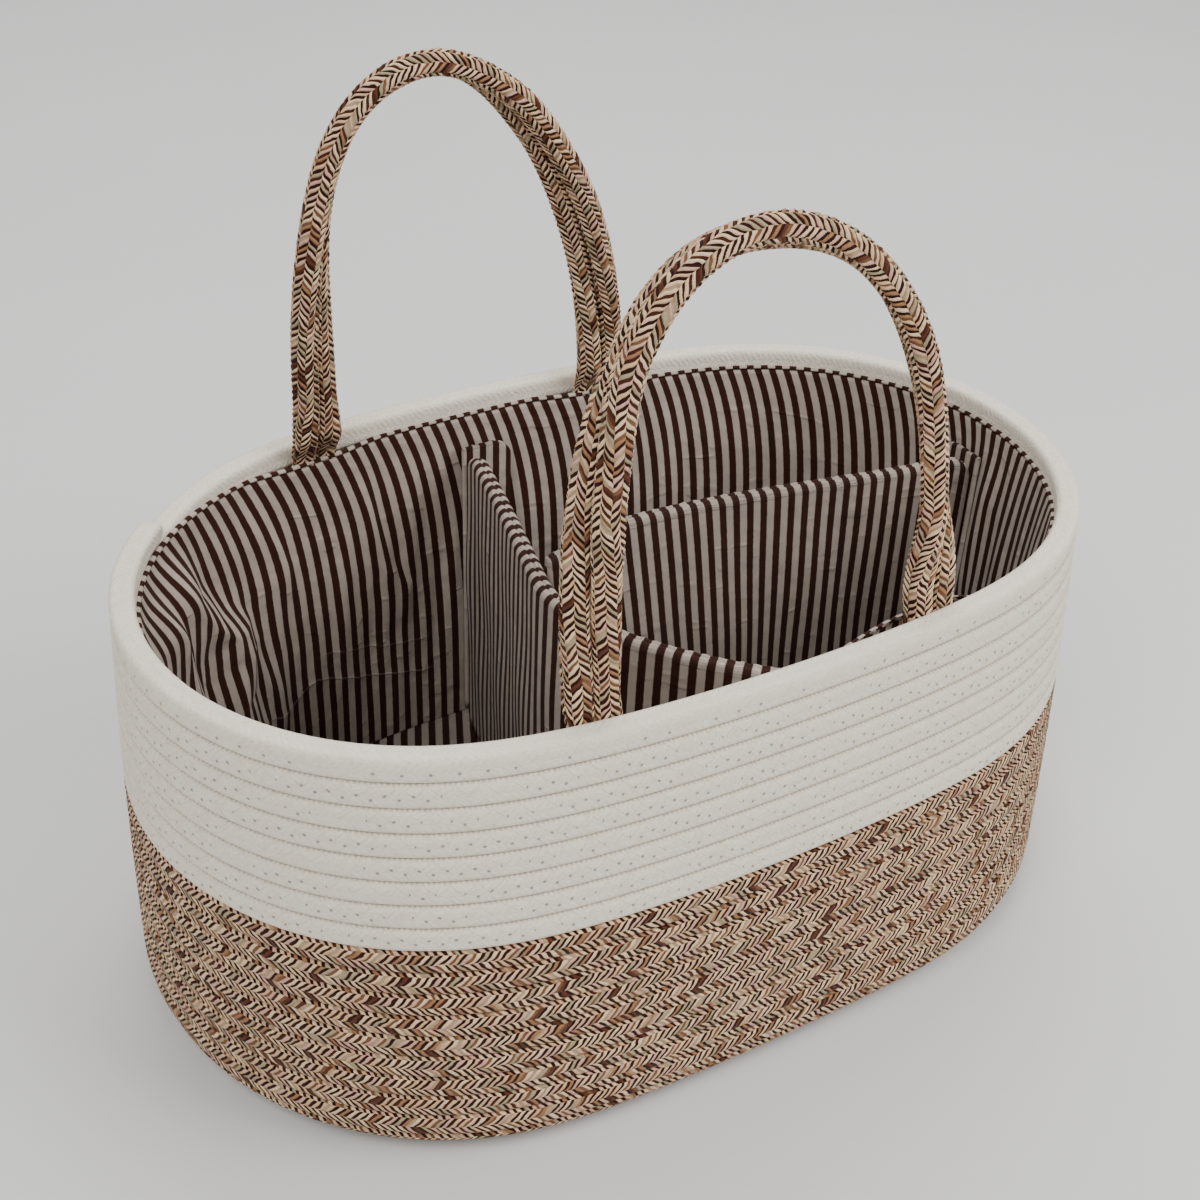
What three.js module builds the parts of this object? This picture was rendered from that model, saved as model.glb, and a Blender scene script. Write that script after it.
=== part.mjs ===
import * as THREE from 'three';

// All sizes in millimetres, +Z up, the basket stands on Z = 0, its length runs along X.

// Coiled rope wall
const ROPE_DIA = 8.7;
const ROW_GAP = 0.7;
const RIM_LENGTH = 380;
const RIM_WIDTH = 232;
const RIM_SIDE_BOW = 10;
const BASE_LENGTH = 392;
const BASE_WIDTH = 256;
const BASE_SIDE_BOW = 4;
const WALL_BELLY = 1;
const RIM_HEIGHT = 174;
const COLOUR_CHANGE_HEIGHT = 100;
const BASE_BEND_RADIUS = 14;
const START_TURN_RADIUS = 5.6;
const RIM_END_ANGLE = 135;
const RISE_ANGLE = 66;
const END_STEPS = 9;
const END_STEP_ANGLE = 18;
const SIDE_STEP_ANGLE = 6;

// Lining
const CLOTH_THICKNESS = 1.2;
const CLOTH_CLEARANCE = 0.7;
const LINING_DROP = 7;
const LINING_COLUMN = 15;
const FLOOR_CLEARANCE = 0.3;
const FLOOR_EDGE_RISE = 5;
const SLEEVE_HEM_GAP = 0.4;
const FOLD_DEPTH = 4.2;
const FOLD_WIDTH = 13;

// Handles: a pair of ropes each, sewn in between rope wall and lining
const HANDLE_ROPE_DIA = 9.2;
const TAIL_DIA = 8.8;
const TAIL_DEPTH = 43;
const TAIL_SIDE_ROOM = 3;
const TAIL_BULGE_RUN = 18;
const TAIL_BULGE_DROP = 28;
const FRONT_HANDLE_SPAN = 135;
const BACK_HANDLE_SPAN = 130;
const HANDLE_RISE = 138;
const FRONT_BULGES = [0.17, 0.36];
const BACK_BULGES = [0.24, -0.04];
const HANDLE_AXIS_ABOVE_RIM = 5.6;
const PAIR_GAP = 0.4;
const SEW_GAP = 0.3;
const ARCH_STEPS = 32;
const ARCH_SIDES = 8;
const FRONT_HANDLE_X = -2.5;
const BACK_HANDLE_X = -19;
const FRONT_SIDE_LEAN = -10;
const BACK_SIDE_LEAN = -12;
const FRONT_REST_LEAN = 6;
const BACK_REST_LEAN = 0;

// Lift-out divider
const BOARD_THICKNESS = 7;
const BOARD_TOP = 155;
const BOARD_CORNER_RADIUS = 13;
const BOARD_CLEARANCE = 0.3;
const SEAM_X = -33;
const SEAM_Y = 9;
const SEAM_STRIP_DIA = 2;
const BACK_END_X = -14;
const FRONT_END_X = 22;
const LONG_END_SHIFT = 8;
const CROSS_BEND = [[-0.073, 0.243], [0.127, 0.514], [0.473, 0.757], [0.818, 0.932]];
const FLAP_THICKNESS = 2.4;
const FLAP_LENGTH = 23;
const FLAP_CORNER_RADIUS = 9;
const FLAP_DROP = 1;
const FLAP_LEAD = 4.1;
const FRONT_FLAP_LEAD = 8.1;
const TAPE_THICKNESS = 1;
const TAPE_WIDTH = 16;
const TAPE_END_MARGIN = 14;
const TAPE_START = 5;
const WALL_PLAY = 0.5;

const ROPE_R = ROPE_DIA / 2;
const DEG = Math.PI / 180;

const COLOURS = {
  brown: [0.43, 0.31, 0.23],
  cream: [0.86, 0.83, 0.76],
  lining: [0.5, 0.44, 0.42],
  board: [0.62, 0.56, 0.52],
  tape: [0.55, 0.6, 0.66]
};

function lerp(a, b, t) {
  return a + (b - a) * t;
}

function smooth(edge0, edge1, x) {
  const t = Math.min(1, Math.max(0, (x - edge0) / (edge1 - edge0)));
  return t * t * (3 - 2 * t);
}

// Wall plan: a thin ellipse (half axes A and B) grown outwards by off, so its offsets nest exactly.
const BASE_OFF = BASE_WIDTH / 2 - ROPE_R - BASE_SIDE_BOW;
const BASE_CORE = BASE_LENGTH / 2 - ROPE_R - BASE_OFF;
const FLAT_OFF = BASE_OFF - BASE_BEND_RADIUS;
const BEND_RUN = BASE_BEND_RADIUS * Math.PI / 2;
const WALL_FOOT = ROPE_R + BASE_BEND_RADIUS;
const RIM_CENTRE = RIM_HEIGHT - ROPE_R;

function wallPlan(z) {
  const w = Math.max(0, (z - WALL_FOOT) / (RIM_CENTRE - WALL_FOOT));
  const belly = WALL_BELLY * 4 * w * Math.max(0, 1 - w);
  const halfWidth = lerp(BASE_WIDTH, RIM_WIDTH, w) / 2 + belly;
  const halfLength = lerp(BASE_LENGTH, RIM_LENGTH, w) / 2 + belly;
  const B = lerp(BASE_SIDE_BOW, RIM_SIDE_BOW, w);
  const off = halfWidth - ROPE_R - B;
  return { off, A: halfLength - ROPE_R - off, B };
}

// Rope centre along the run s from the middle of the base, out over the bend and up the wall
function profileAt(s) {
  if (s <= FLAT_OFF) {
    return { off: s, z: ROPE_R, tilt: 0, A: BASE_CORE, B: BASE_SIDE_BOW * s / BASE_OFF };
  }
  if (s <= FLAT_OFF + BEND_RUN) {
    const tilt = (s - FLAT_OFF) / BASE_BEND_RADIUS;
    const off = FLAT_OFF + BASE_BEND_RADIUS * Math.sin(tilt);
    const z = ROPE_R + BASE_BEND_RADIUS * (1 - Math.cos(tilt));
    return { off, z, tilt, A: BASE_CORE, B: BASE_SIDE_BOW * off / BASE_OFF };
  }
  const z = WALL_FOOT + s - FLAT_OFF - BEND_RUN;
  return { z, tilt: Math.PI / 2, ...wallPlan(z) };
}

function planPoint(plan, deg, inset = 0) {
  const c = Math.cos(deg * DEG);
  const s = Math.sin(deg * DEG);
  const h = Math.hypot(plan.A * c, plan.B * s);
  const off = plan.off - inset;
  return [plan.A * plan.A * c / h + off * c, plan.B * plan.B * s / h + off * s];
}

// Angles of one loop, from the front round the right end, the back and the left end
function loopAngles() {
  const angles = [];
  const first = -END_STEP_ANGLE * END_STEPS / 2;
  for (let i = 0; i <= END_STEPS; i++) {
    angles.push(first + END_STEP_ANGLE * i);
  }
  angles.push(90 - SIDE_STEP_ANGLE / 2, 90 + SIDE_STEP_ANGLE / 2);
  for (let i = 0; i <= END_STEPS; i++) {
    angles.push(180 + first + END_STEP_ANGLE * i);
  }
  angles.push(270 - SIDE_STEP_ANGLE / 2, 270 + SIDE_STEP_ANGLE / 2);
  return angles;
}

const LOOP = loopAngles();

const RUN_TO_RIM = FLAT_OFF + BEND_RUN + RIM_CENTRE - WALL_FOOT - START_TURN_RADIUS;
const TURNS = Math.floor(RUN_TO_RIM / (ROPE_DIA + ROW_GAP));
const PITCH = RUN_TO_RIM / TURNS;
const CHANGE_RUN = FLAT_OFF + BEND_RUN + COLOUR_CHANGE_HEIGHT - PITCH / 2 - WALL_FOOT - START_TURN_RADIUS;
const BROWN_TURNS = Math.round(CHANGE_RUN / PITCH);

// One rope station: each row lies level and climbs to the next row round the left end
function coilStation(turn, deg) {
  const progress = smooth(TURNS * 0.2, TURNS, turn);
  const riseFrom = lerp(90, RIM_END_ANGLE, progress);
  const riseTo = lerp(270, RIM_END_ANGLE + RISE_ANGLE, progress);
  const rise = Math.min(1, Math.max(0, (deg - riseFrom) / (riseTo - riseFrom)));
  const climb = (1 - Math.cos(Math.PI * rise)) / 2;
  const run = START_TURN_RADIUS + PITCH * (turn + climb);
  const ring = profileAt(run);
  const centre = planPoint(ring, deg);
  const normal = [Math.cos(deg * DEG), Math.sin(deg * DEG)];
  const swap = deg > 90 && deg < 270 ? 1 - smooth(FLAT_OFF * 0.45, FLAT_OFF, run) : 0;
  const slide = -swap * PITCH / 2 * normal[0];
  centre[0] += -normal[1] * slide;
  centre[1] += normal[0] * slide;
  return { centre: new THREE.Vector3(centre[0], centre[1], ring.z), normal, tilt: ring.tilt };
}

function ropeSection({ centre, normal, tilt }) {
  const out = new THREE.Vector3(normal[0], normal[1], 0);
  const up = new THREE.Vector3(0, 0, 1);
  const stack = out.clone().multiplyScalar(Math.cos(tilt)).addScaledVector(up, Math.sin(tilt));
  const inward = out.clone().multiplyScalar(-Math.sin(tilt)).addScaledVector(up, Math.cos(tilt));
  const shape = [[1, 0], [0.5, 1], [-0.5, 1], [-1, 0], [-0.5, -1], [0.5, -1]];
  return shape.map(([a, b]) => {
    const point = centre.clone().addScaledVector(stack, a * ROPE_R).addScaledVector(inward, b * ROPE_R);
    point.z = Math.max(0, point.z);
    return point;
  });
}

// Closed solid through rings of equal point counts, capped at both ends
function loft(rings) {
  const n = rings[0].length;
  const points = rings.flat();
  const faces = [];
  for (let i = 0; i + 1 < rings.length; i++) {
    for (let j = 0; j < n; j++) {
      const a = i * n + j;
      const b = i * n + (j + 1) % n;
      faces.push([a, b, b + n], [a, b + n, a + n]);
    }
  }
  const last = (rings.length - 1) * n;
  for (let j = 1; j + 1 < n; j++) {
    faces.push([0, j + 1, j], [last, last + j, last + j + 1]);
  }
  return solid(points, faces);
}

// Closed ring-shaped solid: columns of equal point loops round a closed path
function loftClosed(columns) {
  const n = columns[0].length;
  const points = columns.flat();
  const faces = [];
  for (let i = 0; i < columns.length; i++) {
    const next = (i + 1) % columns.length;
    for (let j = 0; j < n; j++) {
      const k = (j + 1) % n;
      faces.push([i * n + j, i * n + k, next * n + k], [i * n + j, next * n + k, next * n + j]);
    }
  }
  return solid(points, faces);
}

function solid(points, faces) {
  let volume = 0;
  for (const [a, b, c] of faces) {
    volume += points[a].dot(points[b].clone().cross(points[c]));
  }
  const index = faces.flatMap(([a, b, c]) => (volume < 0 ? [a, c, b] : [a, b, c]));
  const geometry = new THREE.BufferGeometry();
  geometry.setAttribute('position', new THREE.Float32BufferAttribute(points.flatMap((p) => [p.x, p.y, p.z]), 3));
  geometry.setIndex(index);
  geometry.computeVertexNormals();
  return geometry;
}

function mesh(name, geometry, colour, roughness) {
  const material = new THREE.MeshStandardMaterial({ roughness, metalness: 0 });
  material.color.setRGB(...COLOURS[colour]);
  const item = new THREE.Mesh(geometry, material);
  item.name = name;
  return item;
}

// Rope stations from one place on the coil to another, given as turn and angle
function coilRings(fromTurn, fromDeg, toTurn, toDeg) {
  const rings = [ropeSection(coilStation(fromTurn, fromDeg))];
  for (let turn = fromTurn; turn <= toTurn; turn++) {
    for (const deg of LOOP) {
      const late = turn > fromTurn || deg > fromDeg + 0.5;
      const early = turn < toTurn || deg < toDeg - 0.5;
      if (late && early) {
        rings.push(ropeSection(coilStation(turn, deg)));
      }
    }
  }
  rings.push(ropeSection(coilStation(toTurn, toDeg)));
  return rings;
}

// Least distance between points of neighbouring loops, on the edges that face each other
function leastLoopGap(rings) {
  const perLoop = LOOP.length;
  let least = Infinity;
  for (let i = 0; i + 1 < rings.length; i++) {
    for (let k = perLoop - 3; k <= perLoop + 3; k++) {
      if (i + k + 1 >= rings.length) {
        continue;
      }
      least = Math.min(least, facingGap(rings, i, i + k));
    }
  }
  return least;
}

function facingGap(rings, i, j) {
  const corners = rings[i].length;
  let least = Infinity;
  const here = new THREE.Vector3();
  const there = new THREE.Vector3();
  for (const t of [0, 0.25, 0.5, 0.75]) {
    for (const u of [0, 0.25, 0.5, 0.75]) {
      for (const a of [5, 0, 1]) {
        for (const b of [2, 3, 4]) {
          here.lerpVectors(rings[i][a % corners], rings[i + 1][a % corners], t);
          there.lerpVectors(rings[j][b], rings[j + 1][b], u);
          least = Math.min(least, here.distanceTo(there));
        }
      }
    }
  }
  return least;
}

function buildCoils() {
  const joinDeg = 90;
  const halfJoin = SEW_GAP / 2 / (RIM_LENGTH / 2) / DEG;
  const brown = coilRings(0, LOOP[0] - END_STEP_ANGLE, BROWN_TURNS, joinDeg - halfJoin);
  const cream = coilRings(BROWN_TURNS, joinDeg + halfJoin, TURNS, RIM_END_ANGLE);
  console.log('brown rope least gap to itself', leastLoopGap(brown).toFixed(3), 'mm');
  console.log('cream rope least gap to itself', leastLoopGap(cream).toFixed(3), 'mm');
  return [
    mesh('brown_rope', loft(brown), 'brown', 0.95),
    mesh('cream_rope', loft(cream), 'cream', 0.95)
  ];
}

// Smallest plan of the wall over the height that the divider stands in
function tightPlan() {
  const rim = wallPlan(LINING_TOP);
  const foot = wallPlan(BOARD_FOOT);
  const halfWidth = Math.min(rim.off + rim.B, foot.off + foot.B);
  const halfLength = Math.min(rim.off + rim.A, foot.off + foot.A);
  const B = halfWidth < rim.off + rim.B ? foot.B : rim.B;
  return { off: halfWidth - B, A: halfLength - halfWidth + B, B };
}

// Point on the straight facets of the rope wall, at a share of the facet after loop angle i
function facetPoint(i, share, z, inset) {
  return planFacet(wallPlan(z), i, share, z, inset);
}

function planFacet(plan, i, share, z, inset) {
  const a = planPoint(plan, LOOP[i], inset);
  const b = planPoint(plan, LOOP[(i + 1) % LOOP.length], inset);
  return new THREE.Vector3(lerp(a[0], b[0], share), lerp(a[1], b[1], share), z);
}

// Where the wall's facets lie at a given x on the front (side -1) or the back (side 1)
function facetY(plan, x, inset, side) {
  for (let i = 0; i < LOOP.length; i++) {
    const a = planFacet(plan, i, 0, 0, inset);
    const b = planFacet(plan, i, 1, 0, inset);
    const inside = (a.x - x) * (b.x - x) <= 0 && Math.abs(a.x - b.x) > 1e-6;
    if (inside && a.y * side > 0 && b.y * side > 0) {
      return lerp(a.y, b.y, (x - a.x) / (b.x - a.x));
    }
  }
  return 0;
}

const HANDLE_R = HANDLE_ROPE_DIA / 2;
const TAIL_R = TAIL_DIA / 2;
const PAIR_HALF = (HANDLE_ROPE_DIA + PAIR_GAP) / 2;
const AXIS_Z = RIM_HEIGHT + HANDLE_AXIS_ABOVE_RIM;
const TAIL_TOP = AXIS_Z - HANDLE_R - SEW_GAP;
const TAIL_FOOT = TAIL_TOP - TAIL_DEPTH - 1;
const LINING_TOP = RIM_HEIGHT - LINING_DROP;

// bulges: how far the left and right half stand out beyond an ellipse, as shares of the half span
// turns: how far a pair has turned about its middle line, in degrees at shares of the way over
const HANDLES = [
  {
    name: 'front', side: -1, x: FRONT_HANDLE_X, span: FRONT_HANDLE_SPAN, bulges: FRONT_BULGES,
    sideLean: FRONT_SIDE_LEAN, restLean: FRONT_REST_LEAN,
    turns: [[0, 0], [0.1, -31], [0.32, -88], [0.5, -110], [0.72, -68], [0.92, -50], [1, 0]]
  },
  {
    name: 'back', side: 1, x: BACK_HANDLE_X, span: BACK_HANDLE_SPAN, bulges: BACK_BULGES,
    sideLean: BACK_SIDE_LEAN, restLean: BACK_REST_LEAN,
    turns: [[0, 0], [0.04, 24], [0.24, 58], [0.42, 61], [0.58, 84], [0.72, 68], [0.86, 45], [1, 0]]
  }
];

function pairTurn(handle, share) {
  let turn = 0;
  for (let i = 0; i + 1 < handle.turns.length; i++) {
    const [from, start] = handle.turns[i];
    const [to, end] = handle.turns[i + 1];
    turn += (end - start) * smooth(from, to, share);
  }
  return turn;
}

function legXs(handle) {
  return [handle.x - handle.span / 2, handle.x + handle.span / 2];
}

// The line through both leg roots, each leg lying against the inside of the rim
function handleAxis(handle) {
  const rim = wallPlan(RIM_CENTRE);
  let slope = 0;
  let ys = [];
  for (let pass = 0; pass < 3; pass++) {
    ys = legXs(handle).map((leg) => {
      const limits = [-1, 1].map((k) => {
        const x = leg + k * PAIR_HALF;
        const near = [x - TAIL_R, x, x + TAIL_R].map((q) => Math.abs(facetY(rim, q, ROPE_R, handle.side)));
        return Math.min(...near) - SEW_GAP - TAIL_R - handle.side * k * PAIR_HALF * slope;
      });
      return handle.side * Math.min(...limits);
    });
    slope = (ys[1] - ys[0]) / handle.span;
  }
  const along = new THREE.Vector3(handle.span, ys[1] - ys[0], 0);
  const middle = new THREE.Vector3(handle.x, (ys[0] + ys[1]) / 2, AXIS_Z);
  return { middle, half: along.length() / 2, along: along.normalize(), slope };
}

// Sewn-in ends of the handle ropes, from just above the rim down behind the lining
function buildTails() {
  const items = [];
  for (const handle of HANDLES) {
    const axis = handleAxis(handle);
    [-1, 1].forEach((leg) => {
      for (const k of [-1, 1]) {
        const foot = axis.middle.clone().addScaledVector(axis.along, leg * axis.half + k * PAIR_HALF);
        const rings = [];
        for (const z of [TAIL_TOP - TAIL_DEPTH, TAIL_TOP]) {
          const ring = [];
          for (let j = 0; j < ARCH_SIDES; j++) {
            const a = 2 * Math.PI * j / ARCH_SIDES;
            ring.push(new THREE.Vector3(foot.x + TAIL_R * Math.cos(a), foot.y + TAIL_R * Math.sin(a), z));
          }
          rings.push(ring);
        }
        const place = `${leg < 0 ? 'left' : 'right'}_${k * leg > 0 ? 'outer' : 'inner'}`;
        items.push(mesh(`${handle.name}_tail_${place}`, loft(rings), 'brown', 0.95));
      }
    });
  }
  return items;
}

// Middle line of a handle's rope pair, in its own upright plane
function archPoint(handle, half, a) {
  const swell = Math.sin(a) ** 2;
  const bulge = handle.bulges[a < Math.PI / 2 ? 0 : 1];
  const x = handle.sideLean * swell - half * Math.cos(a) * (1 + bulge * swell);
  return new THREE.Vector3(x, 0, HANDLE_RISE * Math.sin(a));
}

function archRope(handle, which) {
  const rings = [];
  const axis = handleAxis(handle);
  const across = new THREE.Vector3(-axis.along.y, axis.along.x, 0);
  const lean = -handle.side * handle.restLean * DEG;
  const place = (p) => {
    const point = axis.middle.clone().addScaledVector(axis.along, p.x);
    point.addScaledVector(across, p.y * Math.cos(lean) + p.z * Math.sin(lean));
    point.z += p.z * Math.cos(lean) - p.y * Math.sin(lean);
    return point;
  };
  const section = (centre, e1, e2, r) => {
    const ring = [];
    for (let j = 0; j < ARCH_SIDES; j++) {
      const a = 2 * Math.PI * j / ARCH_SIDES;
      ring.push(place(centre.clone().addScaledVector(e1, r * Math.cos(a)).addScaledVector(e2, r * Math.sin(a))));
    }
    return ring;
  };
  const station = (share) => {
    const a = Math.PI * share;
    const centre = archPoint(handle, axis.half, a);
    const ahead = archPoint(handle, axis.half, a + 0.001).sub(archPoint(handle, axis.half, a - 0.001)).normalize();
    const outward = new THREE.Vector3(-ahead.z, 0, ahead.x);
    const turn = pairTurn(handle, share);
    const toSide = new THREE.Vector3(0, -1, 0);
    const e1 = outward.multiplyScalar(Math.cos(turn * DEG)).addScaledVector(toSide, Math.sin(turn * DEG));
    const e2 = ahead.clone().cross(e1);
    return { centre: centre.addScaledVector(e1, which * PAIR_HALF), e1, e2, ahead };
  };
  const domeAngles = [72, 45];
  const start = station(0);
  for (const d of domeAngles) {
    const centre = start.centre.clone().addScaledVector(start.ahead, -HANDLE_R * Math.sin(d * DEG));
    rings.push(section(centre, start.e1, start.e2, HANDLE_R * Math.cos(d * DEG)));
  }
  for (let i = 0; i <= ARCH_STEPS; i++) {
    const s = station(i / ARCH_STEPS);
    rings.push(section(s.centre, s.e1, s.e2, HANDLE_R));
  }
  const end = station(1);
  for (const d of [...domeAngles].reverse()) {
    const centre = end.centre.clone().addScaledVector(end.ahead, HANDLE_R * Math.sin(d * DEG));
    rings.push(section(centre, end.e1, end.e2, HANDLE_R * Math.cos(d * DEG)));
  }
  return loft(rings);
}

function buildHandles() {
  const items = [];
  for (const handle of HANDLES) {
    items.push(mesh(`${handle.name}_handle_outer`, archRope(handle, 1), 'brown', 0.95));
    items.push(mesh(`${handle.name}_handle_inner`, archRope(handle, -1), 'brown', 0.95));
  }
  return items;
}

// Main folds of the loose lining: loop angle, then depth, top and foot as shares of the full ones
const FOLDS = [
  { deg: 146, depth: 0.7, top: 0.93, low: 0.04 },
  { deg: 163, depth: 1, top: 0.98, low: 0.31 },
  { deg: 181, depth: 0.8, top: 0.86, low: 0 },
  { deg: 197, depth: 1, top: 0.97, low: 0.17 },
  { deg: 214, depth: 0.7, top: 0.79, low: 0 },
  { deg: 28, depth: 0.5, top: 0.86, low: 0.04 },
  { deg: 333, depth: 0.6, top: 0.93, low: 0.1 }
];
const FOLD_FADE_IN = 0.2;
const FOLD_FADE_OUT = 0.17;

const LINING_INSET = ROPE_R + CLOTH_CLEARANCE;

// Columns of the lining sleeve: every facet corner, evenly filled, with extra ones beside the tails
function liningColumns() {
  const columns = [];
  for (let i = 0; i < LOOP.length; i++) {
    const a = facetPoint(i, 0, LINING_TOP, LINING_INSET);
    const b = facetPoint(i, 1, LINING_TOP, LINING_INSET);
    const length = a.distanceTo(b);
    const edges = tailEdges(a, b)
      .map((x) => (x - a.x) / (b.x - a.x))
      .filter((share) => Math.min(share, 1 - share) * length > 1.2);
    const shares = [0, ...edges];
    const steps = Math.max(1, Math.round(length / LINING_COLUMN));
    for (let k = 1; k < steps; k++) {
      if (edges.every((share) => Math.abs(share - k / steps) * length > 4.5)) {
        shares.push(k / steps);
      }
    }
    shares.sort((p, q) => p - q);
    shares.forEach((share) => columns.push({ i, share }));
  }
  return columns;
}

function tailEdges(a, b) {
  const xs = [];
  const side = Math.sign(a.y + b.y);
  for (const handle of HANDLES.filter((h) => h.side === side && Math.abs(a.y) > RIM_WIDTH / 4)) {
    for (const leg of legXs(handle)) {
      const half = PAIR_HALF + TAIL_R + TAIL_SIDE_ROOM;
      for (const x of [leg - half - TAIL_BULGE_RUN, leg - half, leg + half, leg + half + TAIL_BULGE_RUN]) {
        if ((x - a.x) * (x - b.x) < 0) {
          xs.push(x);
        }
      }
    }
  }
  return xs;
}

// How far the lining stands in over the handle tails, measured along Y
function tailPush(column, z) {
  const base = facetPoint(column.i, column.share, z, LINING_INSET);
  const here = facetPoint(column.i, column.share, LINING_TOP, LINING_INSET);
  let push = 0;
  for (const handle of HANDLES.filter((h) => h.side * base.y > 0)) {
    const axis = handleAxis(handle);
    const line = axis.middle.y + (here.x - handle.x) * axis.slope;
    const target = Math.abs(line) - TAIL_R - SEW_GAP - 0.15;
    for (const leg of legXs(handle)) {
      const beside = Math.abs(here.x - leg) - PAIR_HALF - TAIL_R - TAIL_SIDE_ROOM;
      const across = 1 - smooth(0, TAIL_BULGE_RUN, beside);
      const down = smooth(TAIL_FOOT - TAIL_BULGE_DROP, TAIL_FOOT, z);
      const need = Math.max(0, Math.abs(base.y) - target);
      push = Math.max(push, need * across * down);
    }
  }
  return push * -Math.sign(base.y);
}

// How far the lining stands in along its loose folds
function foldPush(column, z) {
  const here = facetPoint(column.i, column.share, LINING_TOP, LINING_INSET);
  let push = 0;
  for (const fold of FOLDS) {
    const crest = planPoint(wallPlan(LINING_TOP), fold.deg, LINING_INSET);
    const away = Math.hypot(here.x - crest[0], here.y - crest[1]) / FOLD_WIDTH;
    const across = Math.exp(-away * away * 1.4);
    const up = (z - SLEEVE_FOOT) / (LINING_TOP - SLEEVE_FOOT);
    const fade = 1 - smooth(fold.top - FOLD_FADE_OUT, fold.top, up) * 0.85;
    const along = smooth(fold.low, fold.low + FOLD_FADE_IN, up) * fade;
    push = Math.max(push, FOLD_DEPTH * fold.depth * across * along);
  }
  return push;
}

// Vector pointing into the basket from the facet that a column lies on
function facetInward(column) {
  const a = facetPoint(column.i, 0, LINING_TOP, LINING_INSET);
  const b = facetPoint(column.i, 1, LINING_TOP, LINING_INSET);
  return new THREE.Vector3(a.y - b.y, b.x - a.x, 0).normalize();
}

function liningPoint(column, z, extra) {
  const point = facetPoint(column.i, column.share, z, LINING_INSET + extra);
  point.y += tailPush(column, z);
  return point.addScaledVector(facetInward(column), foldPush(column, z));
}

const FLOOR_UNDER = ROPE_DIA + FLOOR_CLEARANCE;
const FLOOR_TOP = FLOOR_UNDER + CLOTH_THICKNESS;
const FLOOR_EDGE_Z = FLOOR_TOP + FLOOR_EDGE_RISE;
const SLEEVE_FOOT = FLOOR_EDGE_Z + SLEEVE_HEM_GAP;

function buildLiningWall() {
  const levels = [SLEEVE_FOOT];
  levels.push(lerp(SLEEVE_FOOT, TAIL_FOOT, 0.3), lerp(SLEEVE_FOOT, TAIL_FOOT, 0.6));
  levels.push(TAIL_FOOT - TAIL_BULGE_DROP, TAIL_FOOT, lerp(TAIL_FOOT, LINING_TOP, 0.5), LINING_TOP);
  const columns = liningColumns().map((column) => {
    const outer = levels.map((z) => liningPoint(column, z, 0));
    const inner = levels.map((z) => liningPoint(column, z, CLOTH_THICKNESS));
    return [...outer, ...inner.reverse()];
  });
  return mesh('lining_wall', loftClosed(columns), 'lining', 0.9);
}

// Floor panel of the lining, its edge turned up over the bend of the rope base
function buildLiningFloor() {
  const plan = { off: BASE_OFF, A: BASE_CORE, B: BASE_SIDE_BOW };
  const bendInner = BASE_BEND_RADIUS - ROPE_R;
  const clear = bendInner - CLOTH_CLEARANCE;
  const rise = FLOOR_EDGE_Z - FLOOR_UNDER;
  const edgeIn = Math.sqrt(clear * clear - Math.max(0, WALL_FOOT - FLOOR_EDGE_Z) ** 2);
  const outerEdge = BASE_BEND_RADIUS - edgeIn;
  const section = [
    [BASE_BEND_RADIUS + 1, FLOOR_TOP],
    [outerEdge + CLOTH_THICKNESS, FLOOR_EDGE_Z],
    [outerEdge, FLOOR_EDGE_Z],
    [outerEdge + 1.5, FLOOR_UNDER + rise * 0.45],
    [BASE_BEND_RADIUS, FLOOR_UNDER]
  ];
  const rows = section.map(([inset, z]) => LOOP.map((deg) => {
    const p = planPoint(plan, deg, inset);
    return new THREE.Vector3(p[0], p[1], z);
  }));
  const n = LOOP.length;
  const points = [new THREE.Vector3(0, 0, FLOOR_TOP), ...rows.flat(), new THREE.Vector3(0, 0, FLOOR_UNDER)];
  const faces = [];
  const bottom = points.length - 1;
  for (let j = 0; j < n; j++) {
    const k = (j + 1) % n;
    faces.push([0, 1 + j, 1 + k]);
    for (let r = 0; r + 1 < rows.length; r++) {
      const a = 1 + r * n;
      faces.push([a + j, a + n + k, a + k], [a + j, a + n + j, a + n + k]);
    }
    const a = 1 + (rows.length - 1) * n;
    faces.push([bottom, a + k, a + j]);
  }
  return mesh('lining_floor', solid(points, faces), 'lining', 0.9);
}

const BOARD_FOOT = FLOOR_TOP + BOARD_CLEARANCE;
const SWEEP_INSET = ROPE_R + CLOTH_CLEARANCE + CLOTH_THICKNESS + WALL_PLAY;

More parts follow.
